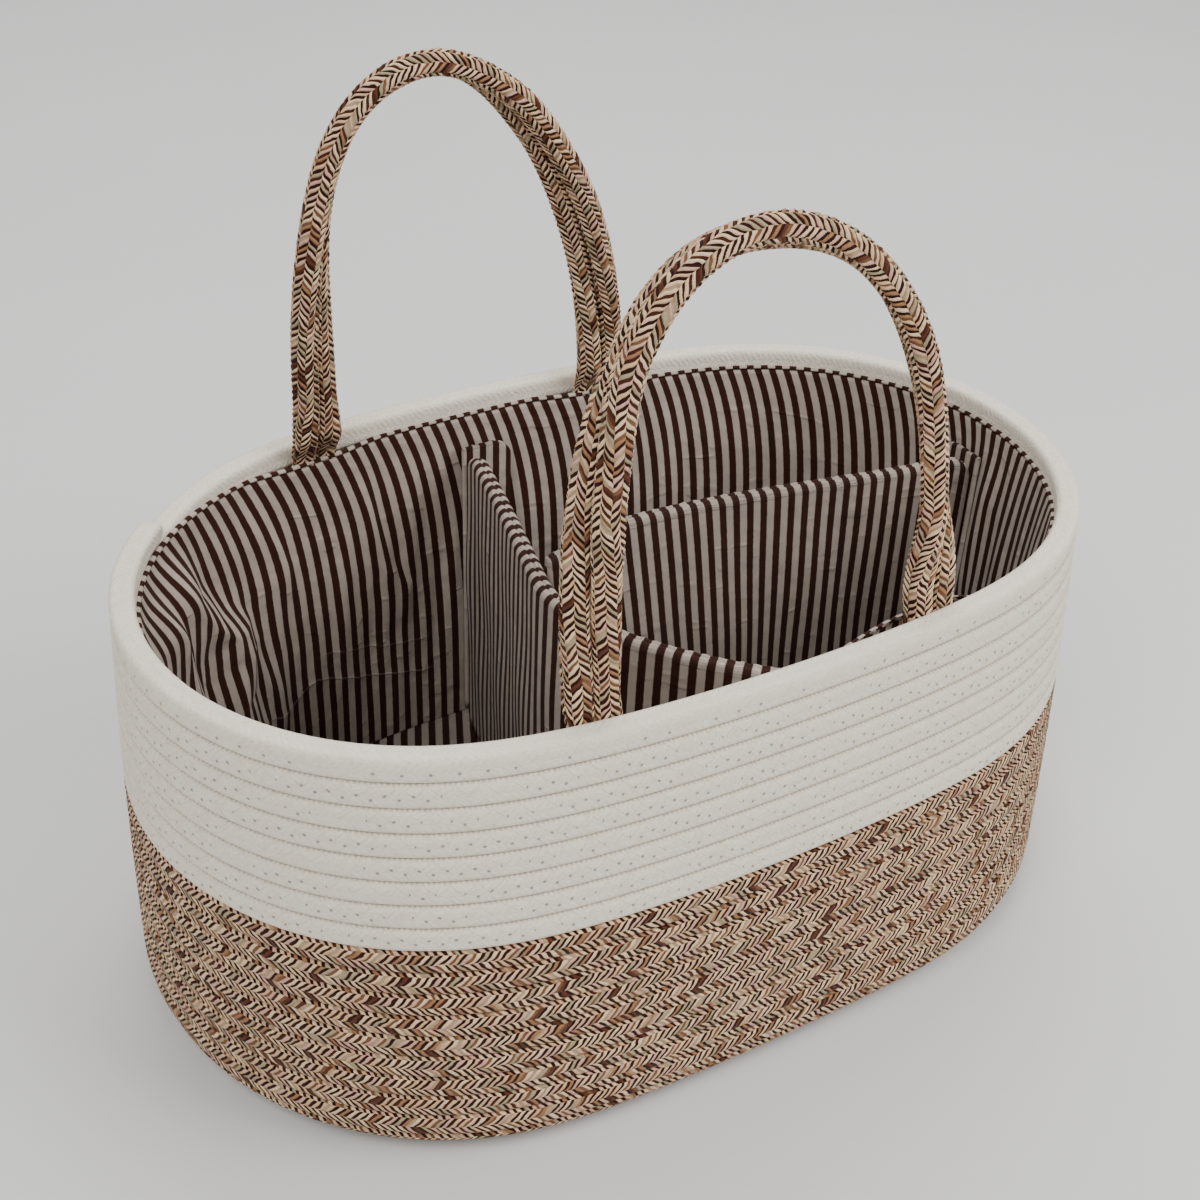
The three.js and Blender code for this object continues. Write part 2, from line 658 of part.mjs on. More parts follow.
// Upright padded strip along a plan path, its top edge rounded, free ends with rounded top corners
function strip(path, options) {
  const { half, foot, top, roundStart = 0, roundEnd = 0 } = options;
  const lengths = [0];
  for (let i = 1; i < path.length; i++) {
    lengths.push(lengths[i - 1] + Math.hypot(path[i][0] - path[i - 1][0], path[i][1] - path[i - 1][1]));
  }
  const total = lengths[path.length - 1];
  const at = (s) => {
    let i = 1;
    while (i < path.length - 1 && lengths[i] < s) {
      i++;
    }
    const t = (s - lengths[i - 1]) / (lengths[i] - lengths[i - 1]);
    return [lerp(path[i - 1][0], path[i][0], t), lerp(path[i - 1][1], path[i][1], t)];
  };
  const stops = [...lengths];
  for (const share of [0.12, 0.35, 0.68, 1]) {
    if (roundStart > 0) {
      stops.push(roundStart * share);
    }
    if (roundEnd > 0) {
      stops.push(total - roundEnd * share);
    }
  }
  stops.sort((a, b) => a - b);
  const kept = stops.filter((s, i) => i === 0 || s - stops[i - 1] > 0.3);
  const cornerDrop = (s, r) => (s >= r ? 0 : r - Math.sqrt(Math.max(0, r * r - (r - s) ** 2)));
  const rings = kept.map((s) => {
    const p = at(s);
    const before = at(Math.max(0, s - 0.05));
    const after = at(Math.min(total, s + 0.05));
    const length = Math.hypot(after[0] - before[0], after[1] - before[1]);
    const tx = (after[0] - before[0]) / length;
    const ty = (after[1] - before[1]) / length;
    const sagStart = roundStart > 0 ? cornerDrop(s, roundStart) : 0;
    const sagEnd = roundEnd > 0 ? cornerDrop(total - s, roundEnd) : 0;
    const zt = top - Math.max(sagStart, sagEnd) * 0.96;
    const shape = [
      [-half, foot], [half, foot], [half, zt - half], [half * 0.7, zt - half * 0.3],
      [0, zt], [-half * 0.7, zt - half * 0.3], [-half, zt - half]
    ];
    return shape.map(([w, z]) => new THREE.Vector3(p[0] - ty * w, p[1] + tx * w, z));
  });
  return loft(rings);
}

// Path along the inside of the wall, starting on the facet after loop angle start, at a place along it
function alongWall(start, place, length, inset) {
  const plan = tightPlan();
  const points = [];
  let left = Math.abs(length);
  const step = Math.sign(length);
  const a = planPoint(plan, LOOP[start], inset);
  const b = planPoint(plan, LOOP[(start + 1) % LOOP.length], inset);
  const axis = Math.abs(b[0] - a[0]) > Math.abs(b[1] - a[1]) ? 0 : 1;
  const t = (place - a[axis]) / (b[axis] - a[axis]);
  let here = [lerp(a[0], b[0], t), lerp(a[1], b[1], t)];
  points.push(here);
  let i = step > 0 ? start + 1 : start;
  while (left > 0) {
    const corner = planPoint(plan, LOOP[(i + LOOP.length) % LOOP.length], inset);
    const run = Math.hypot(corner[0] - here[0], corner[1] - here[1]);
    const share = Math.min(1, left / run);
    here = [lerp(here[0], corner[0], share), lerp(here[1], corner[1], share)];
    points.push(here);
    left -= run;
    i += step;
  }
  return points;
}

function bezier(points, steps) {
  const curve = new THREE.CatmullRomCurve3(points.map((p) => new THREE.Vector3(p[0], p[1], 0)), false, 'centripetal');
  return curve.getPoints(steps).map((p) => [p.x, p.y]);
}

function buildDivider() {
  const half = BOARD_THICKNESS / 2;
  const flapInset = SWEEP_INSET + TAPE_THICKNESS + SEW_GAP + FLAP_THICKNESS / 2;
  const boardInset = flapInset + FLAP_THICKNESS / 2 + SEW_GAP;
  const tight = tightPlan();
  const endFacet = END_STEPS / 2 - 0.5;
  const backFacet = END_STEPS + 1;
  const frontFacet = LOOP.length - 2;
  const backWall = facetY(tight, 0, boardInset, 1);
  const frontWall = facetY(tight, 0, boardInset, -1);
  const endWall = planFacet(tight, endFacet, 0.5, 0, boardInset).x;
  const backEnd = [BACK_END_X, backWall - half * 0.25];
  const frontEnd = [FRONT_END_X, frontWall + half];
  const seam = [SEAM_X, SEAM_Y];
  const between = CROSS_BEND.map(([u, v]) => [lerp(SEAM_X, FRONT_END_X, u), lerp(SEAM_Y, frontEnd[1], v)]);
  const bend = [seam, ...between, frontEnd];
  const backBend = [lerp(BACK_END_X, SEAM_X, 0.42), lerp(backWall, SEAM_Y, 0.46)];
  const cross = [backEnd, backBend, ...bezier(bend, 12)];
  const face = { half, foot: BOARD_FOOT, top: BOARD_TOP };
  const stripX = SEAM_X + half + SEW_GAP + SEAM_STRIP_DIA / 2;
  const longStart = [stripX + SEAM_STRIP_DIA / 2 + SEW_GAP, SEAM_Y];
  const longEnd = [endWall, SEAM_Y - LONG_END_SHIFT];
  const longMiddle = [lerp(longStart[0], longEnd[0], 0.5), SEAM_Y - LONG_END_SHIFT * 0.3];
  const longPath = [longStart, longMiddle, longEnd];
  const flap = {
    half: FLAP_THICKNESS / 2, foot: FLOOR_EDGE_Z + BOARD_CLEARANCE, top: BOARD_TOP - FLAP_DROP,
    roundEnd: FLAP_CORNER_RADIUS
  };
  const tape = { half: TAPE_THICKNESS / 2, foot: BOARD_FOOT + TAPE_END_MARGIN, top: BOARD_TOP - TAPE_END_MARGIN };
  const tapeInset = SWEEP_INSET + TAPE_THICKNESS / 2;
  const backStart = BACK_END_X - FLAP_LEAD;
  const frontStart = FRONT_END_X - FRONT_FLAP_LEAD;
  const endStart = longEnd[1] - FLAP_LEAD;
  const backFlap = alongWall(backFacet, backStart, -FLAP_LENGTH, flapInset);
  const backTape = alongWall(backFacet, backStart + TAPE_START, -TAPE_WIDTH, tapeInset);
  const frontFlap = alongWall(frontFacet, frontStart, FLAP_LENGTH, flapInset);
  const frontTape = alongWall(frontFacet, frontStart + TAPE_START, TAPE_WIDTH, tapeInset);
  const endFlap = alongWall(endFacet, endStart, FLAP_LENGTH, flapInset);
  const endTape = alongWall(endFacet, endStart + TAPE_START, TAPE_WIDTH, tapeInset);
  const seamRod = new THREE.CylinderGeometry(
    SEAM_STRIP_DIA / 2, SEAM_STRIP_DIA / 2, BOARD_TOP - BOARD_THICKNESS - BOARD_FOOT, 8);
  seamRod.rotateX(Math.PI / 2);
  seamRod.translate(stripX, SEAM_Y, (BOARD_TOP - BOARD_THICKNESS + BOARD_FOOT) / 2);
  return [
    mesh('cross_board', strip(cross, { ...face, roundStart: BOARD_CORNER_RADIUS }), 'board', 0.9),
    mesh('back_flap', strip(backFlap, flap), 'board', 0.9),
    mesh('back_tape', strip(backTape, tape), 'tape', 0.7),
    mesh('front_flap', strip(frontFlap, flap), 'board', 0.9),
    mesh('front_tape', strip(frontTape, tape), 'tape', 0.7),
    mesh('long_board', strip(longPath, { ...face, roundEnd: BOARD_CORNER_RADIUS }), 'board', 0.9),
    mesh('end_flap', strip(endFlap, flap), 'board', 0.9),
    mesh('end_tape', strip(endTape, tape), 'tape', 0.7),
    mesh('seam_strip', seamRod, 'board', 0.9)
  ];
}

const part = new THREE.Group();
part.name = 'diaper_caddy';
part.add(
  ...buildCoils(),
  buildLiningWall(),
  buildLiningFloor(),
  ...buildTails(),
  ...buildHandles(),
  ...buildDivider()
);

export default part;
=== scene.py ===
import math

import bmesh
import bpy
import numpy as np
from mathutils import Matrix, Vector


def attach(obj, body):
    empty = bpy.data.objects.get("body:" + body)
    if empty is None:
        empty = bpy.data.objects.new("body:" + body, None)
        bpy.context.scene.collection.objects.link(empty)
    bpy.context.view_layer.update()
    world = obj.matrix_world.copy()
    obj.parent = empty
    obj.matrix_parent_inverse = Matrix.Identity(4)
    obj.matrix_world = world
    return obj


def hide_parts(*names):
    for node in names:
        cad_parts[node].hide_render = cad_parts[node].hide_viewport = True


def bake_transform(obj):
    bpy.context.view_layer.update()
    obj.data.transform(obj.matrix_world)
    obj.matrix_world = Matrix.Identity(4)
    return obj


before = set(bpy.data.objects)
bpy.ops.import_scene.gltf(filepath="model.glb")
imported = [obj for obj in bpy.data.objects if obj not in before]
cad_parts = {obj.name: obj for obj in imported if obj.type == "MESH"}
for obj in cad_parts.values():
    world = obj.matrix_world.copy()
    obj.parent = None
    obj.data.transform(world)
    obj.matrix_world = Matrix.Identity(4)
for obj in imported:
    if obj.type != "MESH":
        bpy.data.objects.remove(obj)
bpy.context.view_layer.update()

# Camera
# The photograph looks down from the front left, a little above the rim and
# tilted slightly, through a normal lens close to the caddy.
CAMERA_PLACE = (-0.2804, -0.4479, 0.4960)
CAMERA_AZIMUTH = math.radians(-31.243)
CAMERA_ELEVATION = math.radians(34.484)
CAMERA_ROLL = math.radians(2.526)
CAMERA_LENS = 49.5
SENSOR_WIDTH = 36.0


def placed(name, data):
    """A new object in the scene, at the origin."""
    item = bpy.data.objects.new(name, data)
    bpy.context.scene.collection.objects.link(item)
    return item


away = Vector((math.sin(CAMERA_AZIMUTH) * math.cos(CAMERA_ELEVATION),
               -math.cos(CAMERA_AZIMUTH) * math.cos(CAMERA_ELEVATION), math.sin(CAMERA_ELEVATION)))
level = (-away).cross(Vector((0, 0, 1))).normalized()
upright = level.cross(-away)
camera_x = math.cos(CAMERA_ROLL) * level + math.sin(CAMERA_ROLL) * upright
camera_y = math.cos(CAMERA_ROLL) * upright - math.sin(CAMERA_ROLL) * level
camera_data = bpy.data.cameras.new("photo_camera")
camera_data.lens = CAMERA_LENS
camera_data.sensor_width = SENSOR_WIDTH
camera_data.clip_start = 0.01
camera = placed("photo_camera", camera_data)
camera_turn = Matrix((camera_x, camera_y, away)).transposed().to_4x4()
camera.matrix_world = Matrix.Translation(CAMERA_PLACE) @ camera_turn
bpy.context.scene.camera = camera

# Speckled rope of the base and the lower wall
# One braided cotton rope, coiled from the middle of the base outwards, round the
# bend and up the wall. Each row is sewn to the last, which presses it nearly square.
ROPE_RADIUS = 0.00435
START_RADIUS = 0.0056
BROWN_TURNS = 21
TURNS = 29
# The coil ends at an angle of the rim, and its last rows climb within a window round that angle, in degrees
RIM_END_ANGLE = 45.0
RISE_LEAD = 30.0
RISE_ANGLE = 66.0
# Length, width and bow of the long sides
RIM_SIZE = (0.380, 0.232, 0.010)
FOOT_SIZE = (0.392, 0.256, 0.004)
WALL_BELLY = 0.001
RIM_HEIGHT = 0.174
BEND_RADIUS = 0.014
BASE_OFF = FOOT_SIZE[1] / 2 - ROPE_RADIUS - FOOT_SIZE[2]
BASE_CORE = FOOT_SIZE[0] / 2 - ROPE_RADIUS - BASE_OFF
FLAT_RUN = BASE_OFF - BEND_RADIUS
BEND_RUN = BEND_RADIUS * math.pi / 2
WALL_FOOT = ROPE_RADIUS + BEND_RADIUS
RIM_CENTRE = RIM_HEIGHT - ROPE_RADIUS
ROW_PITCH = (FLAT_RUN + BEND_RUN + RIM_CENTRE - WALL_FOOT - START_RADIUS) / TURNS
# How square the rope's section is pressed: 2 is round. The cut ends are rounded over a short length, and
# brown and cream butt against each other at the middle of the back
BROWN_SQUARE = 4.8
END_ROUND = 0.002
BUTT_ANGLE = 90.0
BUTT_OVERLAP = 0.065
BROWN_END = BROWN_TURNS * 360 + BUTT_ANGLE + BUTT_OVERLAP


def mix(a, b, t):
    """Part of the way from one value to another."""
    return a + (b - a) * t


def ease(low, high, x):
    """Smooth step from 0 to 1 between two values."""
    t = np.clip((x - low) / (high - low), 0.0, 1.0)
    return t * t * (3 - 2 * t)


def wall_plan(z):
    """Plan of the rope's middle line at a height: offset, half core length and side bow."""
    w = np.maximum(0.0, (z - WALL_FOOT) / (RIM_CENTRE - WALL_FOOT))
    belly = WALL_BELLY * 4 * w * np.maximum(0.0, 1 - w)
    half_width = mix(FOOT_SIZE[1], RIM_SIZE[1], w) / 2 + belly
    half_length = mix(FOOT_SIZE[0], RIM_SIZE[0], w) / 2 + belly
    bow = mix(FOOT_SIZE[2], RIM_SIZE[2], w)
    off = half_width - ROPE_RADIUS - bow
    return off, half_length - ROPE_RADIUS - off, bow


def plan_point(off, core, bow, angle):
    """A point of the plan: a thin ellipse grown outwards by an offset, so its ends are round."""
    c, s = np.cos(angle), np.sin(angle)
    h = np.hypot(core * c, bow * s) + 1e-12
    return core * core * c / h + off * c, bow * bow * s / h + off * s


def plan_angles(count, spread):
    """Angles round the plan, closer together where its long sides pass quickly from one to the next."""
    even = np.linspace(-np.pi / 2, 1.5 * np.pi, count)
    core = np.arctan2(np.sin(even) * RIM_SIZE[0], np.cos(even) * spread)
    return np.unique(np.concatenate([even, np.where(core < -np.pi / 2, core + 2 * np.pi, core)]))


def run_length(*parts):
    """Length along a line up to each of its points."""
    return np.concatenate([[0], np.cumsum(np.sqrt(sum(np.diff(p) ** 2 for p in parts)))])


def coil_station(theta):
    """Rope centre, outward direction, tilt and thinning at a running angle in degrees.

    The angle runs from the middle of the front leftwards, and grows by 360 with each turn."""
    turn = np.floor((theta + 90) / 360)
    deg = theta - 360 * turn
    progress = ease(TURNS * 0.2, TURNS, turn)
    rise_from = mix(90.0, RIM_END_ANGLE - RISE_LEAD, progress)
    rise_to = mix(270.0, RIM_END_ANGLE - RISE_LEAD + RISE_ANGLE, progress)
    climb = (1 - np.cos(np.pi * np.clip((deg - rise_from) / (rise_to - rise_from), 0, 1))) / 2
    run = START_RADIUS + ROW_PITCH * (turn + climb)
    tilt = np.clip((run - FLAT_RUN) / BEND_RADIUS, 0, np.pi / 2)
    bend_off = np.minimum(run, FLAT_RUN) + BEND_RADIUS * np.sin(tilt)
    bend_z = ROPE_RADIUS + BEND_RADIUS * (1 - np.cos(tilt))
    wall_z = WALL_FOOT + run - FLAT_RUN - BEND_RUN
    on_wall = run > FLAT_RUN + BEND_RUN
    plan = wall_plan(wall_z)
    off = np.where(on_wall, plan[0], bend_off)
    core = np.where(on_wall, plan[1], BASE_CORE)
    bow = np.where(on_wall, plan[2], FOOT_SIZE[2] * bend_off / BASE_OFF)
    z = np.where(on_wall, wall_z, bend_z)
    angle = np.radians(deg)
    x, y = plan_point(off, core, bow, angle)
    swap = np.where((deg > 90) & (deg < 270), 1 - ease(FLAT_RUN * 0.45, FLAT_RUN, run), 0)
    slide = -swap * ROW_PITCH / 2 * np.cos(angle)
    x = x - np.sin(angle) * slide
    y = y + np.cos(angle) * slide
    outward = np.stack([-np.cos(angle), np.sin(angle), 0 * angle], 1)
    return np.stack([-x, y, z], 1), outward, tilt, np.where(turn >= TURNS, climb, 0)


def coil_lengths(first, last):
    """Close running angles along the coil, and the length of rope up to each."""
    one = np.degrees(plan_angles(480, RIM_SIZE[2]))[:-1]
    turns = range(int(first // 360) - 1, int(last // 360) + 2)
    dense = np.concatenate([one + 360 * turn for turn in turns])
    dense = np.concatenate([[first], dense[(dense > first) & (dense < last)], [last]])
    return dense, run_length(*coil_station(dense)[0].T)


def rope_section(sides, half_stack, half_out, square):
    """A pressed rope's outline at equal steps, from the side that faces the next row, then outwards."""
    turn = np.linspace(0, 2 * np.pi, 4001)
    c, s = np.cos(turn), np.sin(turn)
    stack = half_stack * np.sign(c) * np.abs(c) ** (2 / square)
    out = half_out * np.sign(s) * np.abs(s) ** (2 / square)
    length = run_length(stack, out)
    even = np.linspace(0, length[-1], sides + 1)
    return np.interp(even, length, stack), np.interp(even, length, out)


def surface(name, rows, lengths, arounds, closed=False, facing=None, marks=None):
    """A mesh through rows of points. Its UV map holds a length and a place round, in metres or shares.

    An open one has its faces turned towards the point facing. Marks are a second UV map."""
    count, around = rows.shape[:2]
    grid = bmesh.new()
    bmesh.ops.create_grid(grid, x_segments=around - 1, y_segments=count - 1, size=0.5)
    mesh = bpy.data.meshes.new(name)
    grid.to_mesh(mesh)
    grid.free()
    mesh.vertices.foreach_set("co", rows.reshape(-1).astype(np.float32))
    corners = np.empty(len(mesh.loops), dtype=np.int32)
    mesh.loops.foreach_get("vertex_index", corners)
    for label, pair in (("UVMap", (lengths, arounds)), ("marks", marks)):
        if pair is None:
            continue
        first = np.asarray(pair[0], dtype=float)
        first = first[:, None] if first.ndim == 1 else first
        flat = [np.broadcast_to(p, (count, around)).reshape(-1)[corners] for p in (first, pair[1])]
        layer = mesh.uv_layers.new(name=label)
        layer.data.foreach_set("uv", np.stack(flat, 1).reshape(-1).astype(np.float32))
    whole = bmesh.new()
    whole.from_mesh(mesh)
    bmesh.ops.remove_doubles(whole, verts=whole.verts, dist=1e-6)
    if closed:
        bmesh.ops.recalc_face_normals(whole, faces=whole.faces)
    if facing is not None:
        aim = sum((Vector(facing) - f.calc_center_median()).dot(f.normal) for f in whole.faces)
        if aim < 0:
            bmesh.ops.reverse_faces(whole, faces=whole.faces)
    whole.to_mesh(mesh)
    whole.free()
    mesh.shade_smooth()
    return placed(name, mesh)


def spaced(line, length, even):
    """Points of a line at other lengths along it."""
    return np.stack([np.interp(even, length, column) for column in line.T], 1)


def softened(line, times):
    """A line with its kinks evened out and its ends kept."""
    for _ in range(times):
        line[1:-1] = 0.5 * line[1:-1] + 0.25 * (line[:-2] + line[2:])
    return line


def rounded(share):
    """Size of a rope near its end, which closes to a point as a quarter circle."""
    return np.sqrt(np.clip(1 - (1 - np.clip(share, 0, 1)) ** 2, 1e-10, 1))


def coil_rope(name, first, last, spacing, sides, square, reaches, settle=False):
    """The coil from one running angle to another. A settled end slopes down on to the row below."""
    theta_at, length_at = coil_lengths(first, last)
    run = length_at[-1]
    steps = np.array([0, 0.02, 0.08, 0.18, 0.32, 0.5, 0.72])
    even = np.linspace(reaches[0], run - reaches[1], int(run / spacing))
    length = np.concatenate([steps * reaches[0], even, (run - steps * reaches[1])[::-1]])
    centre, outward_flat, tilt, thin = coil_station(np.interp(length, length_at, theta_at))
    up = np.array([[0.0, 0.0, 1.0]])
    stack = outward_flat * np.cos(tilt)[:, None] + up * np.sin(tilt)[:, None]
    outward = outward_flat * np.sin(tilt)[:, None] - up * np.cos(tilt)[:, None]
    section = rope_section(sides, ROW_PITCH / 2, ROPE_RADIUS, square)
    start, end = rounded(length / reaches[0]), rounded((run - length) / reaches[1])
    size = (start * end)[:, None, None]
    # The last row is squeezed between the row that climbs under it and the level of the rim
    centre = centre - stack * (ROW_PITCH / 2 * thin)[:, None]
    if settle:
        centre = centre - stack * (ROW_PITCH / 2 * (1 - thin) * (1 - end))[:, None]
    rows = stack[:, None, :] * (section[0][None, :] * (1 - thin)[:, None])[:, :, None]
    rows = rows + outward[:, None, :] * section[1][None, :, None]
    rows = centre[:, None, :] + rows * size
    rows[:, :, 2] = np.maximum(rows[:, :, 2], 0.0)
    return surface(name, rows, length, np.linspace(0, 1, sides + 1), closed=True)


brown_coil = coil_rope("speckled_coil", -90.0, BROWN_END, spacing=0.0062, sides=24, square=BROWN_SQUARE,
                       reaches=(END_ROUND, END_ROUND))


def paint(red, green, blue):
    """A colour, each part from 0 to 255, as light. Parts are above 10."""
    return tuple(((c / 255 + 0.055) / 1.055) ** 2.4 for c in (red, green, blue))


def fill(tree, node, index, value):
    """Gives a node's input a value, or links a socket to it."""
    if isinstance(value, bpy.types.NodeSocket):
        tree.links.new(value, node.inputs[index])
    else:
        node.inputs[index].default_value = value


def calc(tree, operation, *values):
    """One sum on values or sockets."""
    node = tree.nodes.new("ShaderNodeMath")
    node.operation = operation
    for i, value in enumerate(values):
        fill(tree, node, i, value)
    return node.outputs[0]


def total(tree, first, *others):
    """All of them added."""
    for other in others:
        first = calc(tree, "ADD", first, other)
    return first


def product(tree, first, *others):
    """All of them multiplied."""
    for other in others:
        first = calc(tree, "MULTIPLY", first, other)
    return first


def minus(tree, first, second):
    """The first less the second."""
    return calc(tree, "SUBTRACT", first, second)


def place(tree, kind, settings=None, **inputs):
    """A new node with its settings, and values or sockets on its named inputs."""
    node = tree.nodes.new(kind)
    for key, value in (settings or {}).items():
        setattr(node, key, value)
    for key, value in inputs.items():
        fill(tree, node, key.replace("_", " "), value)
    return node


def position(tree, x, y, z=0.0):
    """A place for a pattern to read."""
    return place(tree, "ShaderNodeCombineXYZ", X=x, Y=y, Z=z).outputs[0]


def noise(tree, where, scale, detail, roughness=0.5):
    """Soft random values from 0 to 1."""
    node = place(tree, "ShaderNodeTexNoise", Vector=where, Scale=scale, Detail=detail, Roughness=roughness)
    return node.outputs[0]


def fade(tree, value, low, high, out_low=0.0, out_high=1.0):
    """Smooth step of a value from one range to another."""
    node = place(tree, "ShaderNodeMapRange", {"interpolation_type": "SMOOTHSTEP"})
    for i, item in enumerate((value, low, high, out_low, out_high)):
        fill(tree, node, i, item)
    return node.outputs[0]


def away_from(tree, value, middle):
    """How far a value is from a middle one."""
    return calc(tree, "ABSOLUTE", minus(tree, value, middle))


def zigzag(tree, value):
    """From 1 down to 0 and back as a value grows by one."""
    return product(tree, away_from(tree, calc(tree, "FRACT", value), 0.5), 2.0)


def blend_colour(tree, share, first, second, kind="MIX"):
    """One colour passing into another by a share, or blended with it in another way."""
    node = tree.nodes.new("ShaderNodeMix")
    node.data_type = "RGBA"
    node.blend_type = kind
    for i, item in ((0, share), (6, first), (7, second)):
        fill(tree, node, i, (*item, 1) if isinstance(item, tuple) else item)
    return node.outputs[2]


def shaded(tree, colour, shade):
    """A colour made darker or lighter by a shade."""
    return blend_colour(tree, 1.0, colour, position(tree, shade, shade, shade), "MULTIPLY")


def ramp(tree, value, stops, constant=False):
    """A colour looked up by a value, from stops of a share and a colour."""
    node = tree.nodes.new("ShaderNodeValToRGB")
    node.color_ramp.interpolation = "CONSTANT" if constant else "LINEAR"
    while len(node.color_ramp.elements) < len(stops):
        node.color_ramp.elements.new(0.5)
    for element, (share, colour) in zip(node.color_ramp.elements, stops):
        element.position = share
        element.color = (*colour, 1)
    tree.links.new(value, node.inputs[0])
    return node.outputs[0]


def node_group(name, inputs, outputs):
    """An empty shader group with named values in and out."""
    group = bpy.data.node_groups.new(name, "ShaderNodeTree")
    for label, value in inputs.items():
        socket = group.interface.new_socket(name=label, in_out="INPUT", socket_type="NodeSocketFloat")
        socket.default_value = value
    for label in outputs:
        group.interface.new_socket(name=label, in_out="OUTPUT", socket_type="NodeSocketFloat")
    return group, group.nodes.new("NodeGroupInput"), group.nodes.new("NodeGroupOutput")


# Braid: eight arms of yarn round the rope, which meet in points, and every second arm half a yarn on. The
# slope is how many yarns an arm leans over on its way, and the share is the light yarn's part of the pitch
ARMS = 8
YARN_PITCH = 0.0027
COIL_SLOPE = -1.15
YARN_SHARE = 0.56
YARN_EDGE = 0.04
YARN_STRANDS = 5.0
YARN_RELIEF = 0.0007
COTTON_GLOSS = 0.10
# How the yarns stray, first round and then along the rope: layer and scale of the noise, and how far
STRAYS = ((0.0, 0.55, 0.05), (7.0, 0.45, 0.8))


def build_braid_group():
    """Which yarn shows where on a braid, how dark and how high it is, and a fine texture of its fibres with
    painted highlights in lines along each yarn.
    """
    t, inside, out = node_group(
        "braided_rope", {"Along": 0.0, "Around": 0.0, "Pitch": YARN_PITCH, "Slope": COIL_SLOPE},
        ["Light Pick", "Dark Pick", "Dark", "Height", "Fibre And Strand Highlights"])
    around = inside.outputs["Around"]
    along = calc(t, "DIVIDE", inside.outputs["Along"], inside.outputs["Pitch"])
    strays = []
    for layer, scale, reach in STRAYS:
        stray = noise(t, position(t, along, product(t, around, 2.0 * ARMS), layer), scale, 1.0)
        strays.append(product(t, minus(t, stray, 0.5), reach))
    around, along = total(t, around, strays[0]), total(t, along, strays[1])
    point = zigzag(t, product(t, around, ARMS / 2))
    arm = calc(t, "FLOOR", product(t, around, float(ARMS)))
    stagger = product(t, calc(t, "MODULO", arm, 2.0), 0.5)
    at = total(t, along, product(t, point, inside.outputs["Slope"]), stagger)
    yarn, within = calc(t, "FLOOR", at), calc(t, "FRACT", at)
    picks = []
    for shift in (0.0, 57.0):
        key = position(t, yarn, total(t, arm, shift))
        pick = place(t, "ShaderNodeTexWhiteNoise", {"noise_dimensions": "2D"}, Vector=key)
        picks.append(pick.outputs[0])
    end = calc(t, "POWER", zigzag(t, point), 3.0)
    full = minus(t, 1.0, end)
    half_dark = total(t, product(t, full, 0.08), (1 - YARN_SHARE) / 2 - 0.035)
    from_dark = away_from(t, within, YARN_SHARE + (1 - YARN_SHARE) / 2)
    dark = fade(t, minus(t, from_dark, half_dark), -0.045, 0.045, 1.0, 0.0)
    across = calc(t, "DIVIDE", away_from(t, within, YARN_SHARE / 2), YARN_SHARE / 2 + YARN_EDGE)
    lump = calc(t, "SQRT", calc(t, "MAXIMUM", minus(t, 1.0, product(t, across, across)), 0.0))
    sunk = total(t, product(t, full, 0.55), 0.45)
    height = product(t, calc(t, "MAXIMUM", lump, product(t, dark, 0.35)), sunk)
    fibre = noise(t, position(t, product(t, at, 4.0), product(t, around, 22.0), arm), 1.9, 4.0, 0.72)
    # Painted highlights and shade in lines along each yarn, which also feed the relief
    strand_highlights = zigzag(t, product(t, within, YARN_STRANDS))
    fibre = total(t, product(t, fibre, 0.85), product(t, strand_highlights, 0.20), -0.03)
    for label, socket in (("Light Pick", picks[0]), ("Dark Pick", picks[1]), ("Dark", dark),
                          ("Height", height), ("Fibre And Strand Highlights", fibre)):
        t.links.new(socket, out.inputs[label])
    return t


braid_group = build_braid_group()


def new_material(name, roughness):
    """A material, its nodes and its shader."""
    material = bpy.data.materials.new(name)
    material.use_nodes = True
    shader = material.node_tree.nodes["Principled BSDF"]
    shader.inputs["Roughness"].default_value = roughness
    return material, material.node_tree, shader


def cotton_material(name, roughness, sheen):
    """A matt material, and the length and the place round that its UV map holds."""
    material, tree, shader = new_material(name, roughness)
    shader.inputs["Sheen Weight"].default_value = sheen
    shader.inputs["Specular IOR Level"].default_value = COTTON_GLOSS
    uv = place(tree, "ShaderNodeUVMap", {"uv_map": "UVMap"})
    parts = place(tree, "ShaderNodeSeparateXYZ", Vector=uv.outputs[0])
    return material, tree, shader, parts.outputs[0], parts.outputs[1]


def relief(tree, shader, height, distance):
    """Lets a height stand out on the surface."""
    bump = place(tree, "ShaderNodeBump", Strength=1.0, Distance=distance, Height=height)
    tree.links.new(bump.outputs[0], shader.inputs["Normal"])


def use_group(tree, group, **inputs):
    """A group's outputs, with values or sockets on its named inputs."""
    return place(tree, "ShaderNodeGroup", {"node_tree": group}, **inputs).outputs


# Yarn colours, each from its share on: cream, tan, pinkish, grey olive and two browns, then the dark yarns
LIGHT_YARNS = [(0.0, paint(234, 202, 164)), (0.36, paint(216, 178, 140)), (0.60, paint(210, 168, 146)),
               (0.76, paint(170, 153, 122)), (0.88, paint(156, 114, 82)), (0.97, paint(92, 52, 35))]
DARK_YARNS = [(0.0, paint(54, 27, 19)), (0.60, paint(78, 42, 29)), (0.80, paint(130, 92, 66)),
              (0.92, paint(194, 164, 130))]


